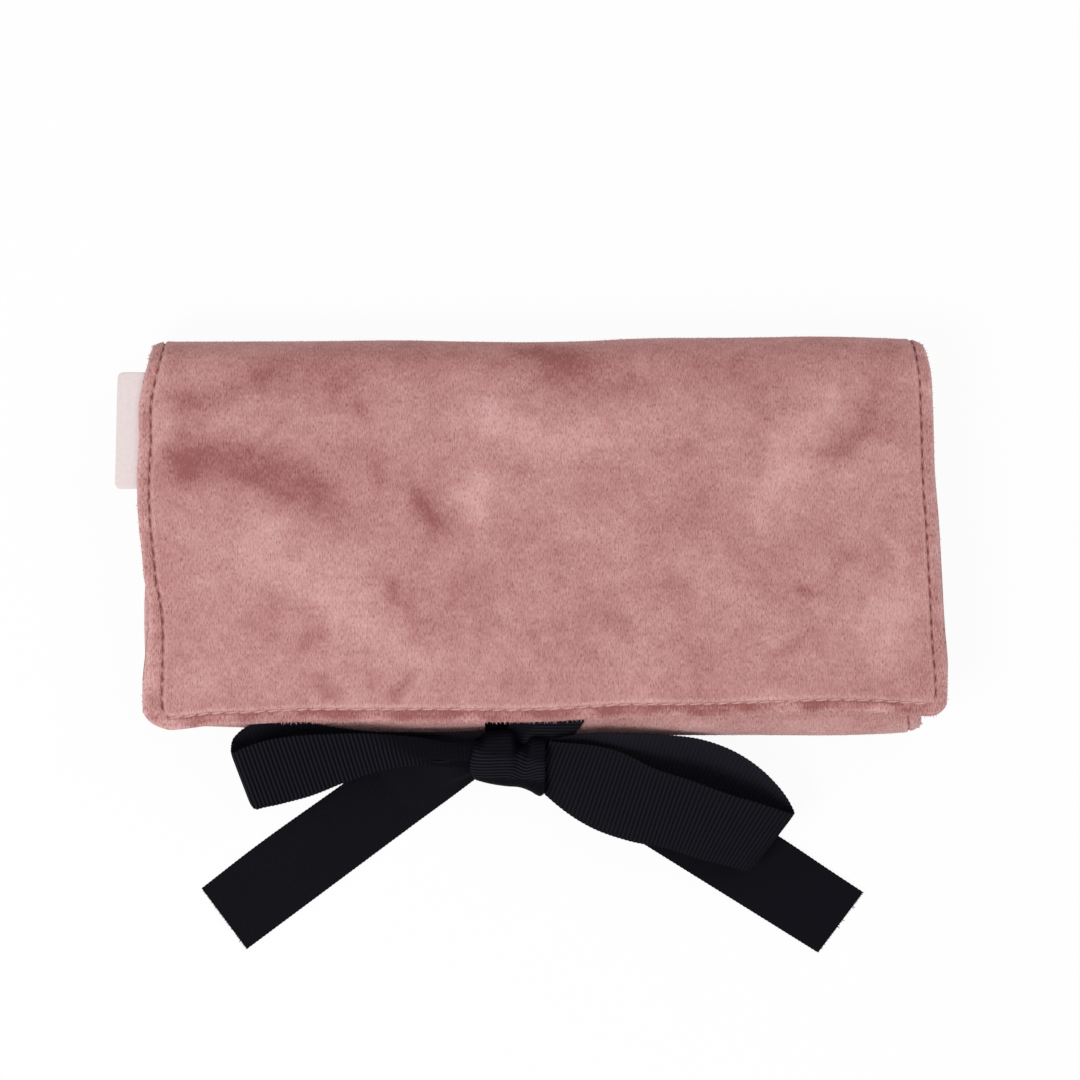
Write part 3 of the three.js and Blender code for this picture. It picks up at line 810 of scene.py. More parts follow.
@dataclass(frozen=True)
class RolledCloth:
    """The padded cloth of the roll. Places along it count from the inner panel's end to the hem."""

    inner_end: float = -3.0
    hem: float = -53.0
    top: Fold = Fold(1, 4, 11.3, 45.7)
    bottom: Fold = Fold(-1, 3, 8.6, -48.4)
    thickness: float = 4.2
    fold_thickness: float = 3.5
    skin: float = 2.5
    rim_depth: float = 2.1
    rim_radius: float = 4.3
    inner_rim_radius: float = 1.7
    lip: float = 2.6
    corners: Pair = (6.2, 5.0)
    seam: float = 3.6
    groove: float = 0.95
    groove_width: float = 0.32
    turn: float = 3.0
    crown: float = 1.5
    stitch_pitch: float = 4.0
    first_holes: Pair = (4.3, -108.1)
    drift_far: float = 2.3
    drift_start: float = 262.0
    drift_run: float = 36.0
    join_shift: float = 3.0
    bend_reach: float = 0.98
    width: float = 228.0

    # x of the side edges down the cloth from the inner panel's end, what the hem adds to its
    # length at x, and how far the cloth is drawn in at x round the folds
    left_edge: Knots = (
        (0, -109.8), (20, -109.7), (28, -109.8), (34, -110.4), (40, -111), (45.4, -111.2),
        (58.9, -109.8), (66, -110.6), (72.4, -111.4), (85, -111.9),
        (100, -112.2), (115, -111.4), (140, -111), (172, -111), (184.3, -108.9), (196, -109.3),
        (203, -110.6), (209, -111.8), (221, -111.9), (232.3, -112.5), (246, -112), (253, -111.2),
        (260, -110.6), (266.5, -109.4), (273.4, -109.1), (280.2, -109.7), (287, -110.4),
        (291.7, -110.9), (301, -110.9),
    )
    right_edge: Knots = (
        (0, 111), (45.4, 111.2), (58.9, 112), (72.4, 111.6), (100, 111.2), (172, 111),
        (184.3, 111.8), (196, 113.1), (202, 113.8), (211.8, 114.3), (232.3, 114.9), (246, 115.9),
        (263.1, 116.8), (280.2, 117.7), (290.5, 118.5), (301, 118.2),
    )
    hem_drop: Knots = (
        (-112, 2.3), (-106, 2.5), (-101.7, 2.3), (-96.3, 1.7), (-92.9, 1.2), (-82.4, 0.8),
        (-70.7, 0.2), (-31.9, -0.1), (8, -0.3), (15.7, -0.8), (25.7, -1.4), (47.9, -1.6),
        (75, -2.5), (85.8, -2.8), (102, -2.3), (110, -1.7), (118, -1.6),
    )
    top_draw: Knots = (
        (-111, 1.3), (-60, 1.1), (-35, 0.9), (-20, 1.2), (0, 1.4), (15, 1.1), (30, 0.4),
        (60, 0.1), (85, -0.2), (100, 0.2), (112, 0.8),
    )
    bottom_draw: Knots = (
        (-111, 2.6), (-90, 2.1), (-60, 1.0), (-20, 0.1), (10, -0.35), (60, -0.3), (95, -0.2),
        (105, 0.3), (112, 1.2),
    )

    @property
    def marks(self) -> tuple[float, float, float, float, float]:
        """Places along the cloth where a flat part or a fold ends."""
        a = self.inner_end - self.bottom.y
        b = a + math.pi * self.bottom.radius
        c = b + self.top.y - self.bottom.y
        d = c + math.pi * self.top.radius
        return a, b, c, d, d + self.top.y - self.hem

    def on_bottom(self, angle: float) -> float:
        """Place along the cloth of an angle on the bottom fold."""
        return self.marks[0] + (math.pi - angle) * self.bottom.radius

    def on_top(self, angle: float) -> float:
        """Place along the cloth of an angle on the top fold."""
        return self.marks[2] + angle * self.top.radius

    def spans(self) -> tuple[Span, ...]:
        """The seven lengths that the cloth is made in, from the inner panel's end."""
        middle = (self.marks[1] + self.marks[2]) / 2 - self.join_shift
        cuts = [
            0.0, self.on_bottom(self.bottom.middle(2)), self.on_bottom(self.bottom.middle(1)),
            middle, self.on_top(self.top.middle(1)), self.on_top(self.top.middle(2)),
            self.on_top(self.top.middle(3)), self.marks[4],
        ]
        rows = (
            ("inner", ("inner_panel", "bottom_fold_2"), self.bottom, 2,
             ("inner_cover", "inner_wadding", "bottom_fold_cover_2"),
             ("inner_lining", "bottom_fold_lining_2")),
            ("bottom_fold", ("bottom_fold_2", "bottom_fold_1"), self.bottom, 1,
             ("bottom_fold_cover_1",), ("bottom_fold_lining_1",)),
            ("back_lower", ("bottom_fold_1", "back"), self.bottom, 0,
             ("back_cover", "back_wadding"), ("back_lining",)),
            ("back_upper", ("back", "top_fold_1"), self.top, 0,
             ("back_cover", "back_wadding"), ("back_lining",)),
            ("top_fold_lower", ("top_fold_1", "top_fold_2"), self.top, 1,
             ("top_fold_cover_1",), ("top_fold_lining_1",)),
            ("top_fold_upper", ("top_fold_2", "top_fold_3"), self.top, 2,
             ("top_fold_cover_2",), ("top_fold_lining_2",)),
            ("flap", ("top_fold_3", "flap"), self.top, 3,
             ("flap_cover", "flap_wadding", "top_fold_cover_3"),
             ("flap_lining", "top_fold_lining_3")),
        )
        made = []
        for k, (name, bodies, fold, index, covers, linings) in enumerate(rows):
            angle = fold.hinge(index)
            reach = (fold.radius - self.thickness) * math.sin(math.pi / 2 / fold.hinges)
            reach *= self.bend_reach
            y = fold.y + fold.side * fold.radius * math.sin(angle)
            z = fold.radius * (1 - math.cos(angle))
            along = (fold.side * math.cos(angle), math.sin(angle))
            # the cloth runs down the bottom fold and up the top one
            ends = [
                (0.0, (y + way * along[0] * reach) * MM, (z + way * along[1] * reach) * MM)
                for way in (-fold.side, fold.side)
            ]
            made.append(Span(name, cuts[k], cuts[k + 1], bodies, *ends, covers, linings))
        return tuple(made)

    def line(self, s: Array) -> tuple[Array, Array, Array, Array, Array]:
        """The outer line of the folded cloth.

        Args:
            s: Places along the cloth.

        Returns:
            y and z of the line, y and z of the way into the cloth, and how far round a fold it is.
        """
        a, b, c, d, _ = self.marks
        low, high = self.bottom, self.top
        down = np.clip(math.pi - (s - a) / low.radius, 0, math.pi)
        up = np.clip((s - c) / high.radius, 0, math.pi)
        sin_down, cos_down, sin_up, cos_up = np.sin(down), np.cos(down), np.sin(up), np.cos(up)
        parts, flat = [s < mark for mark in (a, b, c, d)], 0 * s
        on_low, on_high = low.y - sin_down * low.radius, high.y + sin_up * high.radius
        y = np.select(parts, [self.inner_end - s, on_low, low.y + s - b, on_high], high.y - (s - d))
        on_low, on_high = low.radius * (1 - cos_down), high.radius * (1 - cos_up)
        z = np.select(parts, [flat + 2 * low.radius, on_low, flat, on_high], 2 * high.radius)
        in_y = np.select(parts, [flat, sin_down, flat, -sin_up], 0.0)
        in_z = np.select(parts, [flat - 1, cos_down, flat + 1, cos_up], -1.0)
        round_fold = np.select(parts, [flat, -sin_down, flat, sin_up], 0.0)
        return y, z, in_y, in_z, round_fold

    def at(self, x: Array, s: Array, depth: Array) -> Array:
        """Points of the folded cloth, at a depth below its outer line."""
        y, z, in_y, in_z, bent = self.line(s)
        draw = np.maximum(bent, 0) * through(self.top_draw, x)
        level = depth + (draw + np.maximum(-bent, 0) * through(self.bottom_draw, x))
        return np.stack([x + 0 * y, y + in_y * level, z + in_z * level], -1)

    def sides(self, s: Array) -> tuple[Array, Array]:
        """x of the left and the right edge."""
        return through(self.left_edge, s), through(self.right_edge, s)

    def drift(self, s: Array) -> Array:
        """How much further in the left seam lies than the others, as it leaves the rim."""
        return self.drift_far * smooth((s - self.drift_start) / self.drift_run)

    def from_side(self, x: Array, s: Array) -> Array:
        """Distance to the nearer side, as if the left seam kept its distance from the rim."""
        left, right = self.sides(s)
        drift, inside = self.drift(s), x - left
        inside = np.where(
            inside < self.seam + drift, inside * self.seam / (self.seam + drift), inside - drift
        )
        return np.minimum(inside, right - x)

    def corner_cut(self, x: Array, distance: Array) -> Array:
        """How much a rounded corner shortens the cloth at x, a distance from its side."""
        radius = np.where(x < 0, *self.corners)
        left = radius - np.clip(distance, 0, radius)
        return radius - np.sqrt(radius**2 - left**2)

    def hem_place(self, x: Array) -> Array:
        """Place along the cloth of the hem at x, before its corners are rounded."""
        return self.marks[4] + through(self.hem_drop, x)

    def to_edges(self, x: Array, s: Array) -> tuple[Array, Array]:
        """Distance to the nearer side, and to the nearer free end."""
        side = np.maximum(self.from_side(x, s), 0)
        cut = self.corner_cut(x, side)
        return side, np.maximum(np.minimum(s - cut, self.hem_place(x) - cut - s), 0)

    def seam_line(self, side: Array, end: Array, offset: float = 0.0) -> tuple[Array, Array]:
        """1 on the topstitched line beside the sides, and on the one beside the free ends."""
        from_side, from_end = side - self.seam, end - self.seam
        over_side, over_end = (np.maximum(self.turn - part, 0) for part in (from_side, from_end))
        gap = np.where(
            (over_side > 0) & (over_end > 0),
            self.turn - np.hypot(over_side, over_end),
            np.minimum(from_side, from_end),
        )
        line = bell(gap - offset, self.groove_width)
        across = smooth((side - end + 1) / 2)
        return line * (1 - across), line * across

    def needle(self, x: Array, s: Array) -> Array:
        """1 where the thread goes down and 0 in the middle of a stitch, beside either seam line."""
        side, end = self.to_edges(x, s)
        along = np.where(side < end, s - self.first_holes[0], x - self.first_holes[1])
        return 0.5 + 0.5 * np.cos(TAU * along / self.stitch_pitch)

    def outer(self, x: Array, s: Array) -> Array:
        """Depth of the velvet's outer face below the outer line."""
        side, end = self.to_edges(x, s)
        near = np.minimum(side, end)
        flat = 1 - np.abs(self.line(s)[-1])
        field = smooth((near - self.seam) / 9)
        rim = rounded(side, self.rim_radius) * rounded(end, self.rim_radius)
        depth = self.rim_depth * (1 - rim)
        on_side, on_end = self.seam_line(side, end)
        pit = self.needle(x, s)
        depth += self.groove * np.maximum(on_side * (0.55 + 0.45 * pit), on_end * 0.62)
        depth -= 0.16 * bell(near - 5.0, 1.1) * (1 - pit)
        on_flap = smooth((s - self.marks[3]) / 12)
        on_inner = smooth((self.marks[0] - s) / 8)
        left, right = self.sides(s)
        share = (x - left) / (right - left)
        along = np.clip((s - self.marks[3]) / (self.marks[4] - self.marks[3]), 0, 1)
        dome = (1 - (2 * share - 1) ** 4) * (1 - (2 * along - 1) ** 4)
        depth -= on_flap * self.crown * dome
        waves = 0.45 * swell(x, s, 17.0, 2.1) + 0.2 * swell(x, s, 7.5, 0.4)
        depth -= field * flat * (0.35 + waves) * (on_flap + 0.6 * on_inner)
        hem_wave = 0.22 * np.sin(s / 5.3 + x / 6.1) * (1 - field) * smooth(side / 2)
        depth += hem_wave * (on_flap + on_inner)
        return depth

    def inner(self, x: Array, s: Array) -> Array:
        """Depth of the cover's inner face: its turned lip, and the bed of the lining."""
        side, end = self.to_edges(x, s)
        near = np.minimum(side, end)
        bent = self.line(s)[-1]
        lip = lerp(self.thickness, self.fold_thickness, smooth(np.abs(bent) / 0.4))
        rim = self.rim_depth + (lip - self.rim_depth) * rounded(near, self.inner_rim_radius)
        return rim - (lip - self.skin) * smooth((near - self.lip + 0.3) / 0.6)

    def free(self, span: Span) -> tuple[bool, bool]:
        """Whether a span starts at the inner panel's end, and whether it ends at the hem."""
        return span.start <= 0, span.end >= self.marks[4]

    def columns(self, s: Array, step: float, inset: float) -> Array:
        """x of the cloth's columns, close together near its sides.

        Args:
            s: Places along the cloth.
            step: Spacing in the middle.
            inset: Distance of the outermost column from the edge.

        Returns:
            x by column and place.
        """
        band = np.array(EDGE_STEPS) + inset
        middle = steps(0, 1, step / (self.width - 2 * band[-1]))[1:-1, None]
        left, right = self.sides(s)
        drift = self.drift(s)
        inner_left, inner_right = left + band[-1] + drift, right - band[-1]
        return np.concatenate(
            [
                left + drift * np.minimum(band[:, None] / self.seam, 1) + band[:, None],
                inner_left + (inner_right - inner_left) * middle,
                right - band[::-1, None],
            ]
        )

    def grid(self, span: Span, step: float, inset: float = 0.0) -> tuple[Array, Array]:
        """Corners of a length of cloth. Its free end, if it has one, is drawn in by the inset.

        Args:
            span: The length.
            step: Spacing between the edges.
            inset: How far the grid stays from the cloth's edges.

        Returns:
            x and place along the cloth of each corner, by column and row.
        """
        band = np.array(EDGE_STEPS) + inset
        hem = self.marks[4]
        from_start, from_hem = self.free(span)
        low = span.start + (band[-1] if from_start else 0)
        high = span.end - (band[-1] if from_hem else 0)
        rows = steps(low, high, step)
        if from_start:
            rows = np.concatenate([band[:-1], rows])
        if from_hem:
            rows = np.concatenate([rows, hem - band[-2::-1]])
        x = self.columns(rows, step, inset)
        s = np.repeat(rows[None], len(x), 0)
        for _ in range(2):  # the corners shorten the end columns, which moves their places a little
            cut = self.corner_cut(x, self.from_side(x, s) - inset)
            s = np.repeat(rows[None], len(x), 0)
            if from_hem:
                pull = smooth((rows - self.marks[3]) / (high - self.marks[3]))
                s = s + pull[None] * (self.hem_place(x) - hem - cut)
            if from_start:
                s = s + (1 - smooth((rows - low) / 25))[None] * cut
        return x, s


# distances from an edge at which the cloth has corners: closest beside the seam
EDGE_STEPS = (
    0.0, 0.14, 0.42, 0.85, 1.35, 1.85, 2.3, 2.7, 3.0, 3.25, 3.43, 3.6, 3.77, 3.95, 4.25, 4.7, 5.3,
    6.0, 6.9,
)
CLOTH = RolledCloth()


@dataclass(frozen=True)
class Stroke:
    """A brushed mark in the pile. Its turn is in degrees, and its length and width are halves."""

    x: float
    y: float
    long: float
    wide: float
    turn: float
    strength: float

    def over(self, x: Array, y: Array) -> Array:
        """The mark's strength at points."""
        angle = math.radians(self.turn)
        along = (x - self.x) * math.cos(angle) + (y - self.y) * math.sin(angle)
        across = (y - self.y) * math.cos(angle) - (x - self.x) * math.sin(angle)
        return self.strength * np.exp(
            -(((along / self.long) ** 2 + (across / self.wide) ** 2) ** 1.1)
        )


# Marks on the flap. Their y is the frame's, run on along the cloth over its fold.
FLAP_STROKES = tuple(
    Stroke(*row)
    for row in (
        (8, 48, 14, 6, -8, 0.72), (-97, 38, 8, 5, 20, 0.7), (-79, 43, 10, 5, 10, 0.55),
        (-60, 45, 16, 6, 0, 0.4), (-98, 22, 8, 8, -20, 0.6), (-82, 21, 12, 6, -8, 0.7),
        (-64, 11, 15, 6, -24, 0.72), (-99, 20, 9, 6, 0, 0.3), (-48, 35, 3, 7, 10, 0.5),
        (-43, 17, 5, 4, -30, 0.45), (-30, 6.5, 3.5, 8, 5, 0.75), (-33, 14, 3, 5, 20, 0.35),
        (-38, -18, 7, 2.4, -48, 0.5), (-44, -15, 4, 2.4, 0, 0.3), (-62, -31, 6, 2.2, 50, 0.35),
        (-59, -43, 3.5, 3, 0, 0.65), (-47, -41, 3, 3, 0, 0.4), (-36, -43.5, 3.2, 3.6, 0, 0.7),
        (87, 23, 6, 3.6, 35, 0.6), (94, 31, 7, 3.4, 62, 0.5), (98, 42, 4, 7, 0, 0.4),
        (102.5, 29, 2.6, 2.6, 0, 0.5), (81, -15, 4.5, 2.6, -20, 0.6), (89, -7, 4, 2.6, 20, 0.45),
        (73, -32, 7, 2, 28, 0.45), (68, -40, 5, 2.4, 20, 0.4), (62, 47, 13, 5, 0, 0.35),
        (65, 40, 7, 5, 0, 0.25), (-4, 19, 7, 3, 8, 0.3), (-17, -11, 6, 6, 0, 0.3),
        (0, -28, 3, 2.6, 0, 0.4), (22, -25, 6, 3, -20, 0.35), (41, -13, 3, 3, 0, 0.3),
        (-3, -41, 8, 4, 0, 0.3), (43, 7, 8, 7, 0, 0.25), (30, 42, 10, 4, 10, 0.35),
        (0, 52, 118, 5, 0, 0.3), (-9, 32, 14, 4, -10, -0.5), (-16, 9, 6, 7, 0, -0.5),
        (-74, -7, 18, 8, -38, -0.46), (-54, -20, 13, 7, -48, -0.42), (-35, -34, 10, 6, -42, -0.36),
        (72, 22, 16, 6.5, 74, -0.46), (82, 37, 10, 5, 36, -0.36), (105, -6, 3, 9, 0, -0.45),
        (101, -27, 9, 11, 0, -0.4), (16, 26, 15, 6, 0, -0.35), (-46, 30, 5, 5, 0, -0.2),
        (-105.5, 34, 17, 2.4, 84, -0.5),
    )
)


@dataclass
class BrushingAndEdgeShading:
    """Brushed marks over the whole cloth: those seen on the flap, and made up ones elsewhere, with
    painted light and shade along the sewn edges.
    """

    cloth: RolledCloth
    seed: int = 11
    made_up: int = 34
    kinds: tuple[float, ...] = (-0.5, 0.4, 0.6)

    def strokes(self) -> list[Stroke]:
        """Marks for the parts of the cloth that the photograph doesn't show."""
        draw = np.random.default_rng(self.seed)
        ranges = ((-108, 108), (0, self.cloth.marks[3] - 20), (4, 15), (2.5, 6), (-60, 60))
        return [
            Stroke(*(float(draw.uniform(*ends)) for ends in ranges), float(draw.choice(self.kinds)))
            for _ in range(self.made_up)
        ]

    def over(self, x: Array, s: Array) -> Array:
        """Brushed pile at points of the cloth, with the painted light and shade of its edges."""
        push_x = 2.6 * swell(x, s, 4.2, 1.9) + 1.2 * swell(x, s, 1.7, 4.4)
        push_s = 2.6 * swell(x, s, 4.6, 3.1) + 1.2 * swell(x, s, 1.9, 0.8)
        y = self.cloth.top.y - (s + push_s - self.cloth.marks[3])
        total = 1.15 * sum(stroke.over(x + push_x, y) for stroke in FLAP_STROKES)
        total = total + sum(stroke.over(x + push_x, s + push_s) for stroke in self.strokes())
        return total + self.edges(x, s)

    def edges(self, x: Array, s: Array) -> Array:
        """Painted shade in the seams, their needle pits, below the hem's stitches and in the hem
        band, with uneven pile there; a painted highlight at the rim and inside the seam; and
        painted light on the bottom fold.
        """
        side, end = self.cloth.to_edges(x, s)
        near = np.minimum(side, end)
        hem = smooth((side - end + 1) / 2) * smooth((s - self.cloth.marks[3]) / 20)
        on_side, on_end = self.cloth.seam_line(side, end)
        pit = self.cloth.needle(x, s)
        # painted shade in the side seams' groove, darkest in the needle pits, and in the end seams
        total = on_side * (0.45 + 1.3 * pit**2)
        total += 0.5 * on_end * (1 - hem)
        # painted shadow just below the hem's stitch line, uneven along it
        _, below = self.cloth.seam_line(side, end, -0.55)
        total += hem * below * (0.5 + 0.35 * swell(x, 0 * s, 2.6, 0.9))
        # hem band: painted shade, strongest in its middle, with uneven mottled pile
        band = smooth((self.cloth.seam - 0.2 - near) / 0.7)
        middle = 1 - smooth((np.abs(x) - 55) / 40)
        total += band * ((0.25 + 0.55 * middle) * hem + (0.3 + 0.45 * hem) * swell(x, s, 1.9, 0.6))
        # painted highlight along the rim and just inside the seam
        total -= 0.75 * bell(near - 0.3, 0.8) + 0.3 * bell(near - 4.4, 0.5) * (1 + 0.6 * hem)
        # painted light on the bottom fold, lighter the further round it is
        return total - 0.5 * np.maximum(-self.cloth.line(s)[-1], 0)

    def ruffle(self, x: Array, s: Array) -> Array:
        """How disturbed the pile is: by the seams and the rims."""
        side, end = self.cloth.to_edges(x, s)
        return smooth((self.cloth.seam + 1.2 - np.minimum(side, end)) / 1.6)


@dataclass
class Cover:
    """The padded velvet, in lengths that each bend over one hinge."""

    cloth: RolledCloth
    step: float = 1.25
    fill: float = 0.35
    pile_shift: float = 7.0

    def build(self) -> None:
        """Makes every length of the cover."""
        brushing_and_shading = BrushingAndEdgeShading(self.cloth)
        for span in self.cloth.spans():
            x, s = self.cloth.grid(span, self.step)
            outer = self.cloth.at(x, s, self.cloth.outer(x, s))
            inner = self.cloth.at(x, s, self.cloth.inner(x, s))
            outer[..., 2] = np.maximum(outer[..., 2], 0)  # flat where it lies on the table
            points, faces, kept = pillow(outer, inner, self.cloth.free(span))
            flat = cloth_place(x, s)
            place = np.concatenate([flat, flat + np.array([0, 0, self.pile_shift])])[kept]
            tone = brushing_and_shading.over(place[:, 0], place[:, 1])
            ruffle = brushing_and_shading.ruffle(place[:, 0], place[:, 1])
            piece = as_object(
                f"{span.name}_velvet", points, faces, VELVET, "velvet", place, tone, ruffle=ruffle
            )
            span.carry(piece)
            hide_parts(*span.covers)


@dataclass
class Lining:
    """The lining inside the cover's turned lip, in the same lengths."""

    cloth: RolledCloth
    step: float = 2.2
    top_depth: float = 2.55
    thickness: float = 0.6
    inset: float = 2.45
    cut_width: float = 217.0

    def face(self, x: Array, s: Array) -> Array:
        """Depth of the lining's visible face, with its small puckers."""
        side, end = self.cloth.to_edges(x, s)
        near = np.minimum(side, end) - self.inset
        pucker = 0.16 * np.sin((s + x) * TAU / 4.4) * bell(near - 1.6, 1.8)
        soft = 0.14 * swell(x, s, 6.0, 5.2) * smooth(near / 6)
        edge = 0.35 * (1 - rounded(near, 1.2))
        return self.top_depth + self.thickness - edge + pucker + soft

    def build(self) -> None:
        for span in self.cloth.spans():
            x, s = self.cloth.grid(span, self.step, self.inset)
            top = self.cloth.at(x, s, self.face(x, s))
            bottom = self.cloth.at(x, s, self.top_depth + 0 * x)
            points, faces, kept = slab(top, bottom)
            place = on_both(cloth_place(x, s), kept)
            piece = as_object(f"{span.name}_lining_cloth", points, faces, LINING, "lining", place)
            span.carry(piece)
            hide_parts(*span.linings)
        self.declare()

    def declare(self) -> None:
        """Works out the length of some sheets, and uses it for nothing."""
        beside = {
            "inner": ("bottom_fold",),
            "back_lower": (),
            "back_upper": (),
            "flap": ("top_fold_lower", "top_fold_upper"),
        }
        for span in self.cloth.spans():
            if span.name in beside:
                long = span.end - span.start - self.inset * any(self.cloth.free(span))


@dataclass
class Topstitch:
    """Sewn lines round the roll, a row of separate stitches on both faces of the cloth."""

    cloth: RolledCloth
    length: float = 3.6
    radius: float = 0.3
    corners: int = 6
    sunk: float = 0.28
    end_sunk: float = -0.25
    slant: float = 0.16
    lead: float = 0.4
    points: int = 7
    inner_shift: float = 0.6
    clearance: float = 1.4

    def bar(self, track: Array, lift: Array) -> Shell:
        """One stitch along a short track, thin at its ends.

        Args:
            track: Points of its middle line.
            lift: Outward direction at each point.

        Returns:
            Its corners and faces.
        """
        along = unit(np.gradient(track, axis=0))
        across = unit(np.cross(along, lift))
        share = np.linspace(0, 1, len(track))
        radius = self.radius * (0.35 + 0.65 * np.sin(math.pi * share) ** 0.5)
        return tube(rings(track, radius, across, np.cross(across, along), self.corners))

    def runs(self, face: Face) -> list[tuple[Array, Array, bool]]:
        """The sewn lines.

        Args:
            face: The face of the cloth that they show on.

        Returns:
            Of each line, its x and places along the cloth, and whether it follows a side.
        """
        seam = self.cloth.seam + (self.inner_shift if face is Face.INNER else 0)
        clear = seam + self.clearance
        s = steps(seam + 0.8, self.cloth.marks[4] + 1.5, 0.25)
        left, right = self.cloth.sides(s)
        runs = []
        for x in (left + self.cloth.drift(s) + seam, right - seam):
            fit = s < self.cloth.hem_place(x) - clear
            runs.append((x[fit], s[fit], True))
        x = steps(-116, 122, 0.25)
        for down in (self.cloth.hem_place(x) - seam, seam + 0 * x):
            left, right = self.cloth.sides(down)
            fit = (x > left + self.cloth.drift(down) + clear) & (x < right - clear)
            runs.append((x[fit], down[fit], False))
        return runs

    def build(self) -> None:
        """Sews each face of each span."""
        for face in Face:
            rows: dict[str, list[Shell]] = {}
            for x, s, beside in self.runs(face):
                gap = travelled(np.stack([x, s], -1))
                for k in range(int(gap[-1] // self.cloth.stitch_pitch)):
                    start = k * self.cloth.stitch_pitch + self.lead
                    where = start + np.linspace(0, 1, self.points) * self.length
                    sx, ss = np.interp(where, gap, x), np.interp(where, gap, s)
                    if not beside:
                        ss = ss - self.slant * np.linspace(-1, 1, self.points)
                    self.place(rows, face, sx, ss, self.sunk if beside else self.end_sunk)
            for span in self.cloth.spans():
                if span.name in rows:
                    name = f"{span.name}_{face.value}_stitches"
                    span.carry(as_object(name, *together(rows[span.name]), THREAD, "velvet"))

    def place(self, rows: dict, face: Face, x: Array, s: Array, sunk: float) -> None:
        """Adds one stitch to the rows of its span, sunk into the pile."""
        share = np.linspace(-1, 1, len(x))
        if face is Face.OUTER:
            depth = self.cloth.outer(x, s) - 0.05 + sunk + 0.5 * share**6
            sign = -1.0
        else:
            depth = LINING_BUILD.face(x, s) + 0.08 - 0.5 * share**6
            sign = 1.0
        track = self.cloth.at(x, s, depth)
        _, _, in_y, in_z, _ = self.cloth.line(s)
        lift = sign * np.stack([0 * x, in_y, in_z], -1)
        middle = float(s[len(s) // 2])
        for span in self.cloth.spans():
            if span.start <= middle < span.end:
                rows.setdefault(span.name, []).append(self.bar(track, lift))
                return


LINING_BUILD = Lining(CLOTH)


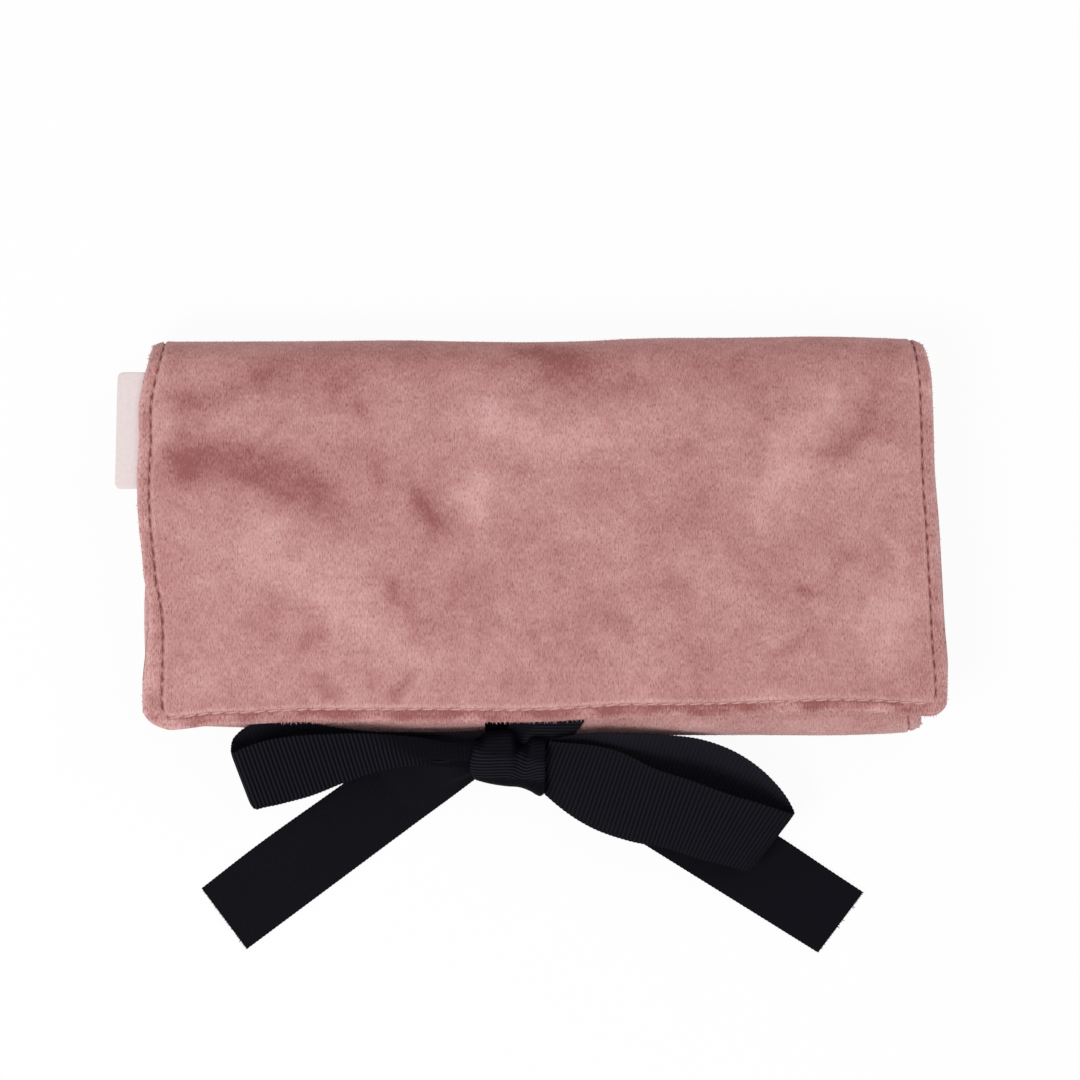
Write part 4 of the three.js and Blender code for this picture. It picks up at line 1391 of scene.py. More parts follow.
@dataclass
class Fringe:
    """Tufts of pile that stand out from the rims and along the outermost line of each fold."""

    cloth: RolledCloth
    spacing: float = 0.42
    long: Pair = (0.35, 1.05)
    thick: Pair = (0.05, 0.13)
    seed: int = 23
    # x and y of three points of each loose fibre on the flap
    stray_ways: tuple = (
        ((-14.8, -17.2, -20.7), (-31.0, -35.0, -40.1)),
        ((-11.9, -14.6, -16.2), (-9.7, -11.8, -15.4)),
    )

    def roots(self, draw: np.random.Generator) -> tuple[Array, Array, Array, Array]:
        """Where the tufts stand.

        Args:
            draw: Where the random numbers come from.

        Returns:
            x and place along the cloth of each root, the way out of the cloth's edge, and its size.
        """
        hem = self.cloth.marks[4]
        rows = []
        s = np.arange(2.0, hem + 1, self.spacing)
        for side in (-1, 1):
            inward = draw.uniform(0.02, 1.1, len(s))
            x = self.cloth.sides(s)[(side + 1) // 2] - side * inward
            rows.append((x, s, np.stack([side + 0 * s, 0 * s], -1), 0.8 + 0 * s))
        for way in (-1, 1):
            x = np.arange(-112, 118.5, self.spacing * 0.4)
            inward = draw.uniform(0.02, 0.7, len(x))
            down = inward if way < 0 else self.cloth.hem_place(x) - inward
            rows.append((x, down, np.stack([0 * x, way + 0 * x], -1), 1 + 0 * x))
        for middle in (self.cloth.on_bottom(math.pi / 2), self.cloth.on_top(math.pi / 2)):
            x = np.arange(-110, 110, self.spacing)
            down = middle + draw.normal(0, 1.2, len(x))
            rows.append((x, down, np.zeros((len(x), 2)), 0.4 + 0 * x))
        x, s, out, size = (np.concatenate(part) for part in zip(*rows))
        side, end = self.cloth.to_edges(x, s)
        left, right = self.cloth.sides(s)
        fit = (x > left) & (x < right) & (end > 0.01) & (side > 0.01)
        return x[fit], s[fit], out[fit], size[fit]

    def strays(self) -> None:
        """Two loose light fibres that lie on the flap."""
        side, up = np.array([[1, 0.5, 0]]), np.array([[0, 0, 1.0]])
        for number, ways in enumerate(self.stray_ways):
            x, y = (through(tuple(enumerate(way)), np.linspace(0, 2, 17)) for way in ways)
            s = self.cloth.marks[3] + self.cloth.top.y - y
            line = self.cloth.at(x, s, self.cloth.outer(x, s) - 0.06)
            corners, faces = tube(rings(line, 0.07, side, up, 5))
            light = np.full(len(corners), -1.0)
            name = f"stray_fibre_{number + 1}"
            piece = as_object(name, corners, faces, VELVET, "velvet", tone=light)
            self.cloth.spans()[-1].carry(piece)

    def build(self) -> None:
        """Makes the tufts of each span."""
        self.strays()
        draw = np.random.default_rng(self.seed)
        x, s, out, size = self.roots(draw)
        base = self.cloth.at(x, s, self.cloth.outer(x, s) + 0.05)
        _, _, in_y, in_z, _ = self.cloth.line(s)
        up = np.stack([0 * x, -in_y, -in_z], -1)
        along = np.stack([0 * x, in_z, -in_y], -1)
        flat = out[:, :1] * np.array([1.0, 0, 0]) + out[:, 1:] * along
        side, end = self.cloth.to_edges(x, s)
        rise = np.clip(np.minimum(side, end) / 1.6, 0.05, 1)[:, None]
        way = flat * (1 - 0.75 * rise) + up * (0.25 + rise)
        way = unit(way + draw.normal(0, 0.22, (len(x), 3)) + along * 0.15)
        curl = draw.normal(0, 0.3, (len(x), 3)) - 0.25 * up
        long = (size * draw.uniform(*self.long, len(x)))[:, None]
        thick = draw.uniform(*self.thick, len(x))
        edge = unit(np.cross(way, (0.31, 0.52, 0.79)))
        other = np.cross(way, edge)
        waist = base + way * long * 0.55 + curl * long * 0.08
        tufts = np.concatenate(
            [
                rings(base - 0.15 * way, thick, edge, other, 3),
                rings(waist, thick * 0.7, edge, other, 3),
                (base + way * long + curl * long * 0.4)[:, None],
            ],
            1,
        )
        sides = [(0, 1, 4, 3), (1, 2, 5, 4), (2, 0, 3, 5), (3, 4, 6), (4, 5, 6), (5, 3, 6)]
        sides.append((2, 1, 0))
        for span in self.cloth.spans():
            own = np.flatnonzero((s >= span.start) & (s < span.end))
            faces = [[7 * k + c for c in side] for k in range(len(own)) for side in sides]
            place = cloth_place(x[own], s[own]).repeat(7, 0)
            # tufts painted lighter from root to tip, a painted highlight on the fibres
            tone = np.tile([0.0] * 3 + [-0.45] * 3 + [-0.8], len(own))
            points = tufts[own].reshape(-1, 3)
            name = f"{span.name}_fringe"
            span.carry(as_object(name, points, faces, VELVET, "velvet", place, tone))


# ---- pockets and zips


@dataclass
class FlatCloth:
    """A flat pocket sheet with turned edges, at one height inside the roll."""

    name: str
    body: str
    x: Pair
    y: Pair
    z: float
    up: int
    rests_on: str
    slot: tuple[float, float, float] | None = None
    loose_top: bool = False
    thickness: float = 0.5
    step: float = 2.0

    def build(self) -> None:
        band = np.array([0, 0.25, 0.6, 1.1, 2.0, 3.0, 4.2])
        xs, ys = (banded(*ends, band, self.step) for ends in (self.x, self.y))
        if self.slot is not None:
            y, half, reach = self.slot
            ys = np.sort(np.concatenate([ys[np.abs(ys - y) > half + 0.5], [y - half, y + half]]))
            xs = np.sort(np.concatenate([xs[np.abs(np.abs(xs) - reach) > 0.4], [-reach, reach]]))
        x, y = np.meshgrid(xs, ys, indexing="ij")
        edge = np.minimum(
            np.minimum(x - self.x[0], self.x[1] - x), np.minimum(y - self.y[0], self.y[1] - y)
        )
        lift = self.thickness * (0.35 + 0.65 * rounded(edge, 1.0))
        lift += 0.16 * smooth(edge / 5) * (1 + swell(x, y, 9.0, 1.3))
        lift += 0.1 * np.sin(x * TAU / 3.8) * bell(edge - 1.6, 1.5)
        if self.loose_top:
            free = self.y[1] - y
            lift += 0.35 * bell(free - 1.0, 1.4)
            lift += 0.3 * (1 + swell(x, 0 * x, 14.0, 2.0)) * bell(free, 9)
        base = self.z + self.up * 0.05
        keep = None
        if self.slot is not None:
            cx, cy = (x[1:, 1:] + x[:-1, :-1]) / 2, (y[1:, 1:] + y[:-1, :-1]) / 2
            keep = ~((np.abs(cy - self.slot[0]) < self.slot[1]) & (np.abs(cx) < self.slot[2]))
        points, faces, _ = laid(x, y, base + self.up * lift, base, keep)
        piece = as_object(f"{self.name}_cloth", points, faces, LINING, "lining")
        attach(piece, self.body)
        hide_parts(self.name)


@dataclass
class Zip:
    """Woven tapes and a nylon coil, and the stops, slider and pull, which only turn to brass."""

    name: str
    body: str
    y: float
    face: float
    up: int
    length: float = 190.0
    coil_length: float = 184.6
    tape_start: float = 2.1
    seam: float = 3.6
    stitch_pitch: float = 2.6
    pitch: float = 1.3
    wire: float = 0.21
    coil_out: float = 0.72
    coil_wide: float = 0.98
    coil_high: float = 0.3

    def tapes(self) -> None:
        """Two tapes with a ribbed weave and a raised bead next to the coil."""
        xs = steps(-self.length / 2, self.length / 2, 0.5)
        near = np.array([0, 0.12, 0.4, 0.75, 1.1, 1.6, 2.4, 3.2, 4.0, 4.5, 4.7, 4.8])
        x, off = np.meshgrid(xs, near, indexing="ij")
        for side, word in ((1, "upper"), (-1, "lower")):
            y = self.y + side * (self.tape_start + off)
            lift = 0.4 + 0.12 * bell(off - 0.45, 0.35) + 0.035 * np.sin(x * TAU / 1.5)
            lift -= 0.22 * (1 - rounded(np.minimum(off, near[-1] - off), 0.3))
            lift += 0.05 * swell(x, y, 9.0, 0.7) - 0.06 * bell(off - self.seam, 0.5)
            top, bottom = self.face + self.up * lift, self.face + self.up * 0.03
            points, faces, _ = laid(x, y, top, bottom)
            piece = as_object(f"{self.name}_{word}_tape", points, faces, TAPE, "tape")
            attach(piece, self.body)
            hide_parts(f"{self.name}_tape_{word}")
            self.sew(f"{self.name}_{word}_stitches", self.y + side * (self.tape_start + self.seam))

    def sew(self, name: str, y: float) -> None:
        """A straight row of stitches along a tape."""
        sewer = Topstitch(CLOTH, length=1.9, radius=0.2, corners=5)
        start = np.array([0.5 - self.length / 2, y, self.face + self.up * 0.42])
        share = np.linspace(-1, 1, 5)
        stitches = []
        for k in range(int((self.length - 1) // self.stitch_pitch)):
            run = k * self.stitch_pitch + sewer.lead + (share + 1) / 2 * sewer.length
            track = start + np.stack([run, 0 * run, -0.3 * self.up * share**4], -1)
            stitches.append(sewer.bar(track, np.array([[0.0, 0, self.up]] * 5)))
        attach(as_object(name, *together(stitches), THREAD, "lining"), self.body)

    def coil(self) -> None:
        """Two meshed nylon spirals."""
        turns = int(self.coil_length / self.pitch) - 1
        angle = np.arange(turns * 10 + 1) / 10 * TAU
        spirals = []
        for side in (1, -1):
            x = -self.coil_length / 2 + self.wire + self.pitch * angle / TAU
            x = x + (self.pitch / 2 if side < 0 else 0)
            y = self.y + side * (self.coil_out + self.coil_wide * np.cos(angle))
            z = self.face + self.up * (self.coil_out + self.coil_high * np.sin(angle))
            line = np.stack([x, y, z], -1)
            along = unit(np.gradient(line, axis=0))
            across = unit(np.cross(along, (1.0, 0, 0)))
            up = np.cross(across, along)
            spirals.append(tube(rings(line, self.wire, 1.15 * across, up, 5)))
        piece = as_object(f"{self.name}_spiral", *together(spirals), NYLON, "coil", crease=80)
        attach(piece, self.body)
        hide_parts(f"{self.name}_coil")

    def build(self) -> None:
        """Makes the whole zip."""
        self.tapes()
        self.coil()
        for part in ("top_stop", "bottom_stop", "slider", "pull"):
            Fitting(f"{self.name}_{part}").dress()


@dataclass
class Fitting:
    """A metal part that keeps its own shape, with its edges broken and a plated finish."""

    node: str
    edge: float = 0.12

    def dress(self) -> None:
        """Gives the part its finish."""
        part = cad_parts[self.node]
        part.data.materials.clear()
        part.data.materials.append(BRASS.material())
        bevel = part.modifiers.new("broken edges", "BEVEL")
        bevel.width, bevel.segments = self.edge * MM, 2
        bevel.limit_method, bevel.angle_limit = "ANGLE", math.radians(35)
        bevel.harden_normals = True


# ---- ring bar


@dataclass
class RingBar:
    """The padded velvet bar for rings, its sewn tab, its snap tab and the snap."""

    y: float = 8.5
    z: float = 10.7
    radius: float = 6.2
    ends: Pair = (-75.0, 75.0)
    tab_half: float = 6.5
    sewn_reach: Pair = (-18.3, 2.5)
    snap_reach: Pair = (-2.5, 22.3)
    around: int = 56

    def roll(self) -> None:
        """The stuffed roll, with pleats drawn into each end and a seam underneath."""
        xs = banded(*self.ends, np.array([0, 0.5, 1.1, 2.0, 3.2, 4.8, 6.8]), 1.6)
        angle = np.arange(self.around) / self.around * TAU
        x, a = np.meshgrid(xs, angle, indexing="ij")
        edge = np.minimum(x - self.ends[0], self.ends[1] - x)
        shut = rounded(edge, 4.2)
        r = self.radius * (0.5 + 0.5 * shut) - 0.15
        r += 0.28 * np.cos(14 * a + np.sin(x * 0.3)) * bell(edge - 2.2, 2.6)
        r += 0.14 * swell(x, a * 6, 8.0, 0.9) - 0.12
        r -= 0.35 * bell(np.angle(np.exp(1j * (a + math.pi / 2 + 0.5))), 0.07)
        under = np.maximum(-np.sin(a), 0)
        r *= 1 - 0.03 * under**2
        points = np.stack([x, self.y + r * np.cos(a), self.z + r * np.sin(a)], -1)
        corners, faces = tube(points)
        place = cloth_place(x, a * self.radius)
        nap = (0.35 * swell(x * 1.1, a * 7, 9.0, 3.0)).reshape(-1)
        piece = as_object("ring_bar_velvet", corners, faces, BAR_VELVET, "velvet", place, nap, 60)
        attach(piece, "ring_bar")
        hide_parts("ring_bar_cover", "ring_bar_core")

    def strap(self, name: str, line: Array, thickness: float, round_end: int) -> bpy.types.Object:
        """A folded velvet tab along a line, as wide as the record's tabs.

        Args:
            name: The piece's name.
            line: Its middle, row by row.
            thickness: How thick it is.
            round_end: 1 if its last end is rounded, and -1 for its first.

        Returns:
            The new piece.
        """
        share = np.sin(np.linspace(-1, 1, 17) * math.pi / 2)
        up = -np.cross(unit(np.gradient(line, axis=0)), (0.0, 1.0, 0.0))
        run = travelled(line)
        left = run[-1] - run if round_end > 0 else run
        half = self.tab_half * (0.55 + 0.45 * rounded(left, 4.5))
        y = share[:, None] * half[None]
        edge = np.minimum(half[None] - np.abs(y), left[None] + 0 * y)
        lift = thickness / 2 * (0.25 + 0.75 * rounded(edge, 0.9))
        lift -= 0.16 * bell(edge - 1.6, 0.45)
        base = line[None] + y[..., None] * np.array([0, 1.0, 0])
        rise = lift[..., None] * up[None]
        points, faces, kept = slab(base + rise, base - rise)
        place = on_both(cloth_place(np.broadcast_to(run, y.shape), y), kept)
        nap = 0.3 * swell(points[:, 0], points[:, 1], 4.0, 1.0) - 0.1
        return as_object(name, points, faces, BAR_VELVET, "velvet", place, nap)

    def build(self) -> None:
        """Makes the bar with both tabs and dresses the snap."""
        self.roll()
        t = np.linspace(0, 1, 30)
        x = lerp(*(self.ends[0] + reach for reach in self.sewn_reach), t)
        z = 4.72 + 3.6 * smooth((x - self.ends[0] + 4.2) / 6.5)
        sewn = self.strap("ring_bar_sewn_tab", np.stack([x, self.y + 0 * x, z], -1), 0.9, -1)
        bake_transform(sewn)
        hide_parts("ring_bar_anchor")
        x = lerp(*(self.ends[1] + reach for reach in self.snap_reach), t)
        z = 7.1 + 1.0 * (1 - smooth((x - self.ends[1]) / 8))
        tab = self.strap("ring_bar_snap_tab", np.stack([x, self.y + 0 * x, z], -1), 1.6, 1)
        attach(tab, "ring_bar")
        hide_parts("ring_bar_tab")
        for node in ("snap_socket", "snap_stud", "snap_cap"):
            Fitting(node, 0.2).dress()


# ---- label


@dataclass
class Label:
    """Bare satin tab, folded at its outer edge and sewn into the flap's side."""

    seam_x: float = -109.6
    outer_x: float = -118.5
    lean: float = 0.026
    y: float = 30.0
    half: float = 16.6
    z: float = 19.6
    corner: float = 1.6
    thickness: float = 0.72

    def build(self) -> None:
        """Makes the tab."""
        near = self.outer_x + np.array([0, 0.08, 0.25, 0.5, 0.9, 1.4])
        xs = np.concatenate([near, steps(self.outer_x + 2, self.seam_x, 0.8)])
        ys = banded(-self.half, self.half, np.array([0, 0.1, 0.3, 0.6, 1.0, 1.6, 2.4]), 1.2)
        x, y = np.meshgrid(xs, ys, indexing="ij")
        out = x - self.outer_x
        cut = self.corner * (1 - rounded(out, self.corner))
        y = y * (self.half - cut) / self.half
        edge = np.minimum(out, self.half - cut - np.abs(y))
        lift = self.thickness / 2 * (0.3 + 0.7 * rounded(edge, 0.45))
        wave = 0.12 * np.sin(y / 7.0 + 0.8) + 0.08 * swell(x, y, 5.0, 2.0) + 0.02 * out
        level = self.z + wave * smooth((self.seam_x - x) / 4)
        x = x + self.lean * y
        points, faces, _ = laid(x, self.y + y, level + lift, level - lift)
        piece = as_object("label_tab", points, faces, LABEL, "label", crease=70)
        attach(piece, "flap")
        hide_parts("label")


# ---- ribbon


@dataclass(frozen=True)
class Track:
    """Middle line of a ribbon, row by row."""

    centre: Array
    half: Array
    facing: Array
    pleat: Array

    def even(self, step: float) -> tuple["Track", Array]:
        """The same line in even steps, and the length run at each row."""
        run = travelled(self.centre)
        at = steps(0, float(run[-1]), step)
        parts = [
            np.stack([np.interp(at, run, column) for column in part.T], -1)
            for part in (self.centre, self.half, self.facing)
        ]
        return Track(*parts, np.interp(at, run, self.pleat)), at


@dataclass
class Ribbon:
    """Grosgrain ribbon with woven ribs, scalloped selvedges and pleats."""

    width: float = 21.6
    thickness: float = 0.5
    pitch: float = 1.2
    rib: float = 0.15
    scallop: float = 0.11
    step: float = 0.15
    crease: float = 65.0
    # tone of the painted highlight on a rib's back
    light: float = 0.72
    across: tuple[float, ...] = (0, 0.1, 0.24, 0.38, 0.52, 0.65, 0.77, 0.87, 0.94, 0.98, 1.0)

    def ribs(self, run: Array) -> Array:
        """Height of the ribs at a length along the ribbon: round backs with narrow grooves."""
        wave = np.abs(np.cos(math.pi * run / self.pitch))
        return self.rib * (2 * wave**0.75 - 1)

    def shade(self, ahead: Array, ribbed: Array | float, plain: Array | float) -> Array:
        """How light the ribbon is painted: thin painted highlights on the ribs' backs, and a plain
        tone between them and elsewhere.
        """
        back = np.abs(np.cos(math.pi * ahead / self.pitch)) ** 5
        return lerp(plain, self.light, back * ribbed)

    def lay(self, name: str, track: Track, look: Look) -> bpy.types.Object:
        """Makes a ribbon along a track.

        Args:
            name: The piece's name.
            track: Its middle line.
            look: Gives the share of the ribs that shows, in relief and as painted highlights, and
                the plain
            tone between, at places across (-1 to 1) and along (0 to 1).

        Returns:
            The new piece.
        """
        even, run = track.even(self.step)
        v = np.concatenate([-np.array(self.across[:0:-1]), np.array(self.across)])[:, None]
        normal = unit(np.cross(np.gradient(even.centre, axis=0), even.half))
        ahead = run[None] + 0 * v
        ribbed, plain = look(v, run[None] / run[-1])
        scallop = self.scallop * (np.abs(np.cos(math.pi * ahead / self.pitch)) - 0.5)
        half = np.linalg.norm(even.half, axis=1)[None]
        reach = (v * (1 + scallop * np.abs(v) ** 8 / half))[..., None]
        wave = (np.cos(1.5 * math.pi * v + 0.5) * even.pleat[None])[..., None]
        middle = even.centre[None] + reach * even.half[None] + wave * even.facing[None]
        thick = self.thickness / 2 * (1 - 0.45 * np.abs(v) ** 10)
        shown = 0.1 + 0.9 * np.minimum(ribbed, 1)
        thick = thick + shown * self.ribs(ahead) * (1 - 0.5 * np.abs(v) ** 10)
        rise = thick[..., None] * normal[None]
        points, faces, kept = slab(middle + rise, middle - rise)
        place = on_both(cloth_place(ahead, v * half), kept)
        tone = on_both((self.shade(ahead, ribbed, plain) + 0 * ahead).ravel(), kept)
        return as_object(name, points, faces, RIBBON, "ribbon", place, tone, self.crease)


@dataclass(frozen=True)
class LoopShape:
    """One loop of the bow. The knots run from the knot (0) to the fold (1).

    bulge opens it across its layers and blunt rounds its fold. back and front lift the two layers,
    wide is the share of the ribbon's width, and slant turns the ribs, in degrees. ribbed and plain
    are the painted rib highlights and the plain tone of its front layer.
    """

    name: str
    side: int
    length: float
    start: Pair
    droop: float
    fall: float
    bulge: float
    blunt: float
    tilts: Pair
    slant: Knots
    back: Knots
    front: Knots
    wide: Knots
    pleated: float
    ribbed: float
    plain: float


@dataclass(frozen=True)
class TailShape:
    """One tail of the bow, by its lower selvedge from the knot to the cut."""

    name: str
    side: int
    start: Point
    length: float
    droop: float
    cut: float
    spread: float


@dataclass
class Bow:
    """The tied ribbon in front of the roll, with the two ties that hold it."""

    knot_x: float = -6.0
    knot_y: Pair = (-63.4, -66.6)
    knot_z: float = 12.3
    tilt: float = 37.0
    insert: float = 8.0
    gather: float = 26.0
    spacing: float = 0.8
    seat: float = 0.9
    landing: float = 22.0
    tucked: float = 4.0
    pleat: float = 0.9
    laid_z: float = 0.55
    cut_run: float = 14.0
    spread_at: Pair = (62.0, 24.0)
    around: int = 300
    depth: float = 4.9
    take_up: float = 1.12
    thickness: float = 0.75
    wrap_flat: Pair = (20.0, 44.0)
    flap_tie_flat: Pair = (20.0, 25.0)
    body_tie_flat: Pair = (20.6, 16.0)
    # how the body's tie leaves the bottom fold for the knot
    strap_y: Knots = (
        (0, -50.6), (0.2, -52.5), (0.45, -55), (0.65, -57.2), (0.8, -58.9), (1, -61.6),
    )
    strap_z: Knots = ((0, 17.4), (0.2, 17.2), (0.45, 16.3), (0.65, 15.1), (0.8, 14), (1, 11.8))
    # half height of the knot's face above and below its middle, from its left edge to its right
    wrap_top: Knots = (
        (0, 5.6), (0.05, 6.3), (0.16, 8.6), (0.35, 10.3), (0.5, 10.9), (0.545, 10.3), (0.585, 7.2),
        (0.65, 5.7), (0.73, 6.9), (0.79, 9.3), (0.88, 9.9), (1, 10.0),
    )
    wrap_low: Knots = (
        (0, 7.2), (0.26, 7.8), (0.45, 7.9), (0.61, 7.6), (0.72, 8.0), (0.8, 8.6), (0.87, 9.5),
        (0.93, 9.8), (1, 8.2),
    )
    loops: tuple[LoopShape, ...] = (
        LoopShape(
            "left_loop", -1, 69.6, (-59.6, 14.0), 1.2, 3.2, 5.2, 3.0, (40.0, 35.0),
            slant=((0, 0), (0.5, 11), (1, 13)),
            back=((0, 0.2), (0.12, 0.0), (0.27, -0.6), (0.45, -2.0), (0.6, -2.8), (0.75, -3.2),
                  (0.88, -4.1), (0.956, -5.6), (0.98, -6.4), (1, -6.6)),
            front=((0, -1.6), (0.12, -1.7), (0.27, -0.1), (0.45, 0.4), (0.6, -0.5), (0.75, -1.9),
                   (0.88, -3.4), (0.956, -5.1), (0.98, -6.1), (1, -6.6)),
            wide=((0, 0.46), (0.12, 0.45), (0.27, 0.49), (0.45, 0.63), (0.6, 0.81), (0.75, 1),
                  (0.956, 1), (0.98, 0.975), (0.99, 0.95), (1, 0.9)),
            pleated=44.0, ribbed=1.08, plain=0.1,
        ),
        LoopShape(
            "right_loop", 1, 70.4, (-66.3, 12.3), 17.2, 3.0, 4.0, 2.0, (38.0, 15.0),
            slant=((0, 4), (0.3, 1), (0.55, 1), (0.8, 9), (1, 16)),
            back=((0, 2.0), (0.12, 4.0), (0.27, 6.0), (0.45, 9.3), (0.6, 11.0), (0.75, 9.7),
                  (0.88, 6.0), (0.96, 2.4), (1, 0)),
            front=((0, 2.5), (0.12, 1.6), (0.27, 0.6), (0.45, -0.3), (0.6, 0.5), (0.75, 0.4),
                   (0.88, 0.7), (0.96, 0.3), (1, 0)),
            wide=((0, 0.83), (0.12, 1.06), (0.27, 1.15), (0.45, 1.07), (0.6, 1.01), (0.75, 1),
                  (1, 1)),
            pleated=22.0, ribbed=0.74, plain=0.2,
        ),
    )
    tails: tuple[TailShape, ...] = (
        TailShape("left_tail", -1, (-16.2, -70.2, 7.4), 82.8, 36.7, 0.0, 0.035),
        TailShape("right_tail", 1, (3.6, -71.4, 4.0), 93.3, 31.9, 1.9, 0.05),
    )

    def loop(self, shape: LoopShape, ribbon: Ribbon) -> None:
        """Out along the back layer, round the fold and home along the front one."""
        droop = math.radians(shape.droop)
        fall = -shape.fall / shape.length
        along = np.array([shape.side * math.cos(droop), -math.sin(droop), fall])
        across = np.array([shape.side * math.sin(droop), math.cos(droop), 0.0])
        turn = np.linspace(0, 1, 1500)
        share = 1 - np.abs(1 - 2 * turn) ** shape.blunt
        free = smooth(share * shape.length / self.gather)
        open_share = np.sin(TAU * turn) * np.sqrt(share)
        bulge = -shape.bulge * open_share - self.spacing * np.cos(math.pi * turn)
        lean = np.radians(lerp(self.tilt, lerp(*shape.tilts, smooth(turn)), free))
        slant = np.radians(through(shape.slant, share))
        up = np.array([0, 0, 1.0])
        rise = across * np.cos(lean)[:, None] + up * np.sin(lean)[:, None]
        facing = -across * np.sin(lean)[:, None] + up * np.cos(lean)[:, None]
        start = np.array([self.knot_x + shape.side * self.insert, *shape.start])
        start = start + self.seat * self.ways()[1]
        shift = np.where(turn < 0.5, through(shape.back, share), through(shape.front, share))
        centre = start + along * (share * shape.length)[:, None] + facing * bulge[:, None]
        centre = centre + across * shift[:, None]
        half = rise * np.cos(slant)[:, None] + along * np.sin(slant)[:, None]
        half = half * (through(shape.wide, share) * ribbon.width / 2 / np.cos(slant))[:, None]
        pleat = self.pleat * (1 - smooth(share * shape.length / shape.pleated))

        def look(v: Array, place: Array) -> tuple[Array, Array]:
            """Painted rib highlights and plain tone: dimmer highlights inside the loop, and plain
            where the left one is drawn into the knot.
            """
            front = smooth((place - 0.47) / 0.05)
            drawn = smooth((np.minimum(place, 1 - place) * 2 - 0.25) / 0.14 - 0.6 * v)
            drawn = drawn if shape.side < 0 else 1.0
            ribbed, plain = lerp(0.7, shape.ribbed, front), lerp(0.6, shape.plain, front)
            return ribbed * (0.1 + 0.9 * drawn), plain + 0 * drawn

        piece = ribbon.lay(f"{shape.name}_ribbon", Track(centre, half, facing, pleat), look)
        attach(piece, "bow")
        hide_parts(shape.name)

    def tail(self, shape: TailShape, ribbon: Ribbon) -> None:
        """Out of the knot, down to the table and flat along it, with a cut end."""
        droop = math.radians(shape.droop)
        run = np.linspace(-self.tucked, shape.length, 700)
        landed = smooth(run / self.landing)
        lean = math.radians(self.tilt) * (1 - landed)
        ahead = np.array([shape.side * math.cos(droop), -math.sin(droop), 0.0])
        lower = np.array(shape.start) + run[:, None] * ahead
        lower[:, 2] = lerp(shape.start[2], self.laid_z, landed)
        lower[:, 2] += 0.25 * np.sin(run / 11.0) ** 2 * landed
        gathered = smooth((run + self.tucked) / self.gather)
        wide = lerp(10.0, ribbon.width, gathered) / 2
        wide = wide * (1 + shape.spread * bell(run - self.spread_at[0], self.spread_at[1]))
        across = np.array([shape.side * math.sin(droop), math.cos(droop), 0.0])
        half = np.cos(lean)[:, None] * across + np.sin(lean)[:, None] * np.array([0, 0, 1.0])
        half = half * wide[:, None]
        centre = lower + half
        cut = shape.cut / 2 * smooth((run - shape.length + self.cut_run) / self.cut_run)
        half = half + cut[:, None] * ahead
        centre = centre + cut[:, None] * ahead
        facing = shape.side * unit(np.cross(np.gradient(lower, axis=0), half))
        # tails: faint painted rib highlights on a plain tone
        piece = ribbon.lay(
            f"{shape.name}_ribbon", Track(centre, half, facing, self.pleat * (1 - gathered)),
            lambda v, place: (0.03 + 0 * place, 0.25),
        )
        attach(piece, "bow")
        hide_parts(shape.name)
        frays = self.frays(f"{shape.name}_frays", centre[-1], half[-1], lower[-1] - lower[-20])
        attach(frays, "bow")

    def frays(self, name: str, middle: Array, half: Array, ahead: Array) -> bpy.types.Object:
        """Loose yarn ends along a cut end.

        Args:
            name: The piece's name.
            middle: Middle of the cut.
            half: Half the cut, as a vector.
            ahead: The way the ribbon points there.

        Returns:
            The new piece.
        """
        draw = np.random.default_rng(len(name))
        ahead, side = unit(ahead), unit(half)
        radii, up = (0.12, 0.12, 0.1, 0.05), np.array([[0, 0, 1.0]])
        shells = []
        for place in np.linspace(-0.97, 0.97, 58):
            long = float(draw.uniform(0.05, 0.4)) + (0.5 if draw.random() < 0.05 else 0)
            bend = float(draw.normal(0, 0.3))
            t = np.linspace(-0.4, long, len(radii))[:, None]
            line = middle + half * (place + float(draw.normal(0, 0.006)))
            line = line + ahead * t + side * bend * np.maximum(t, 0) ** 2
            line[:, 2] += float(draw.uniform(-0.12, 0.12))
            shells.append(tube(rings(line, radii, side[None], up, 4)))
        return as_object(name, *together(shells), RIBBON, "ribbon")

    def ways(self) -> tuple[Array, Array]:
        """The way up the knot's face, and the way out of it."""
        tilt = math.radians(self.tilt)
        rise = np.array([0, math.cos(tilt), math.sin(tilt)])
        return rise, np.array([0, -math.sin(tilt), math.cos(tilt)])

    def middle(self, x: Array, t: Array) -> Array:
        """Points of the knot's middle line at a share of its length, moved to x."""
        return np.stack([x, lerp(*self.knot_y, t) + 0 * x, self.knot_z + 0 * x], -1)

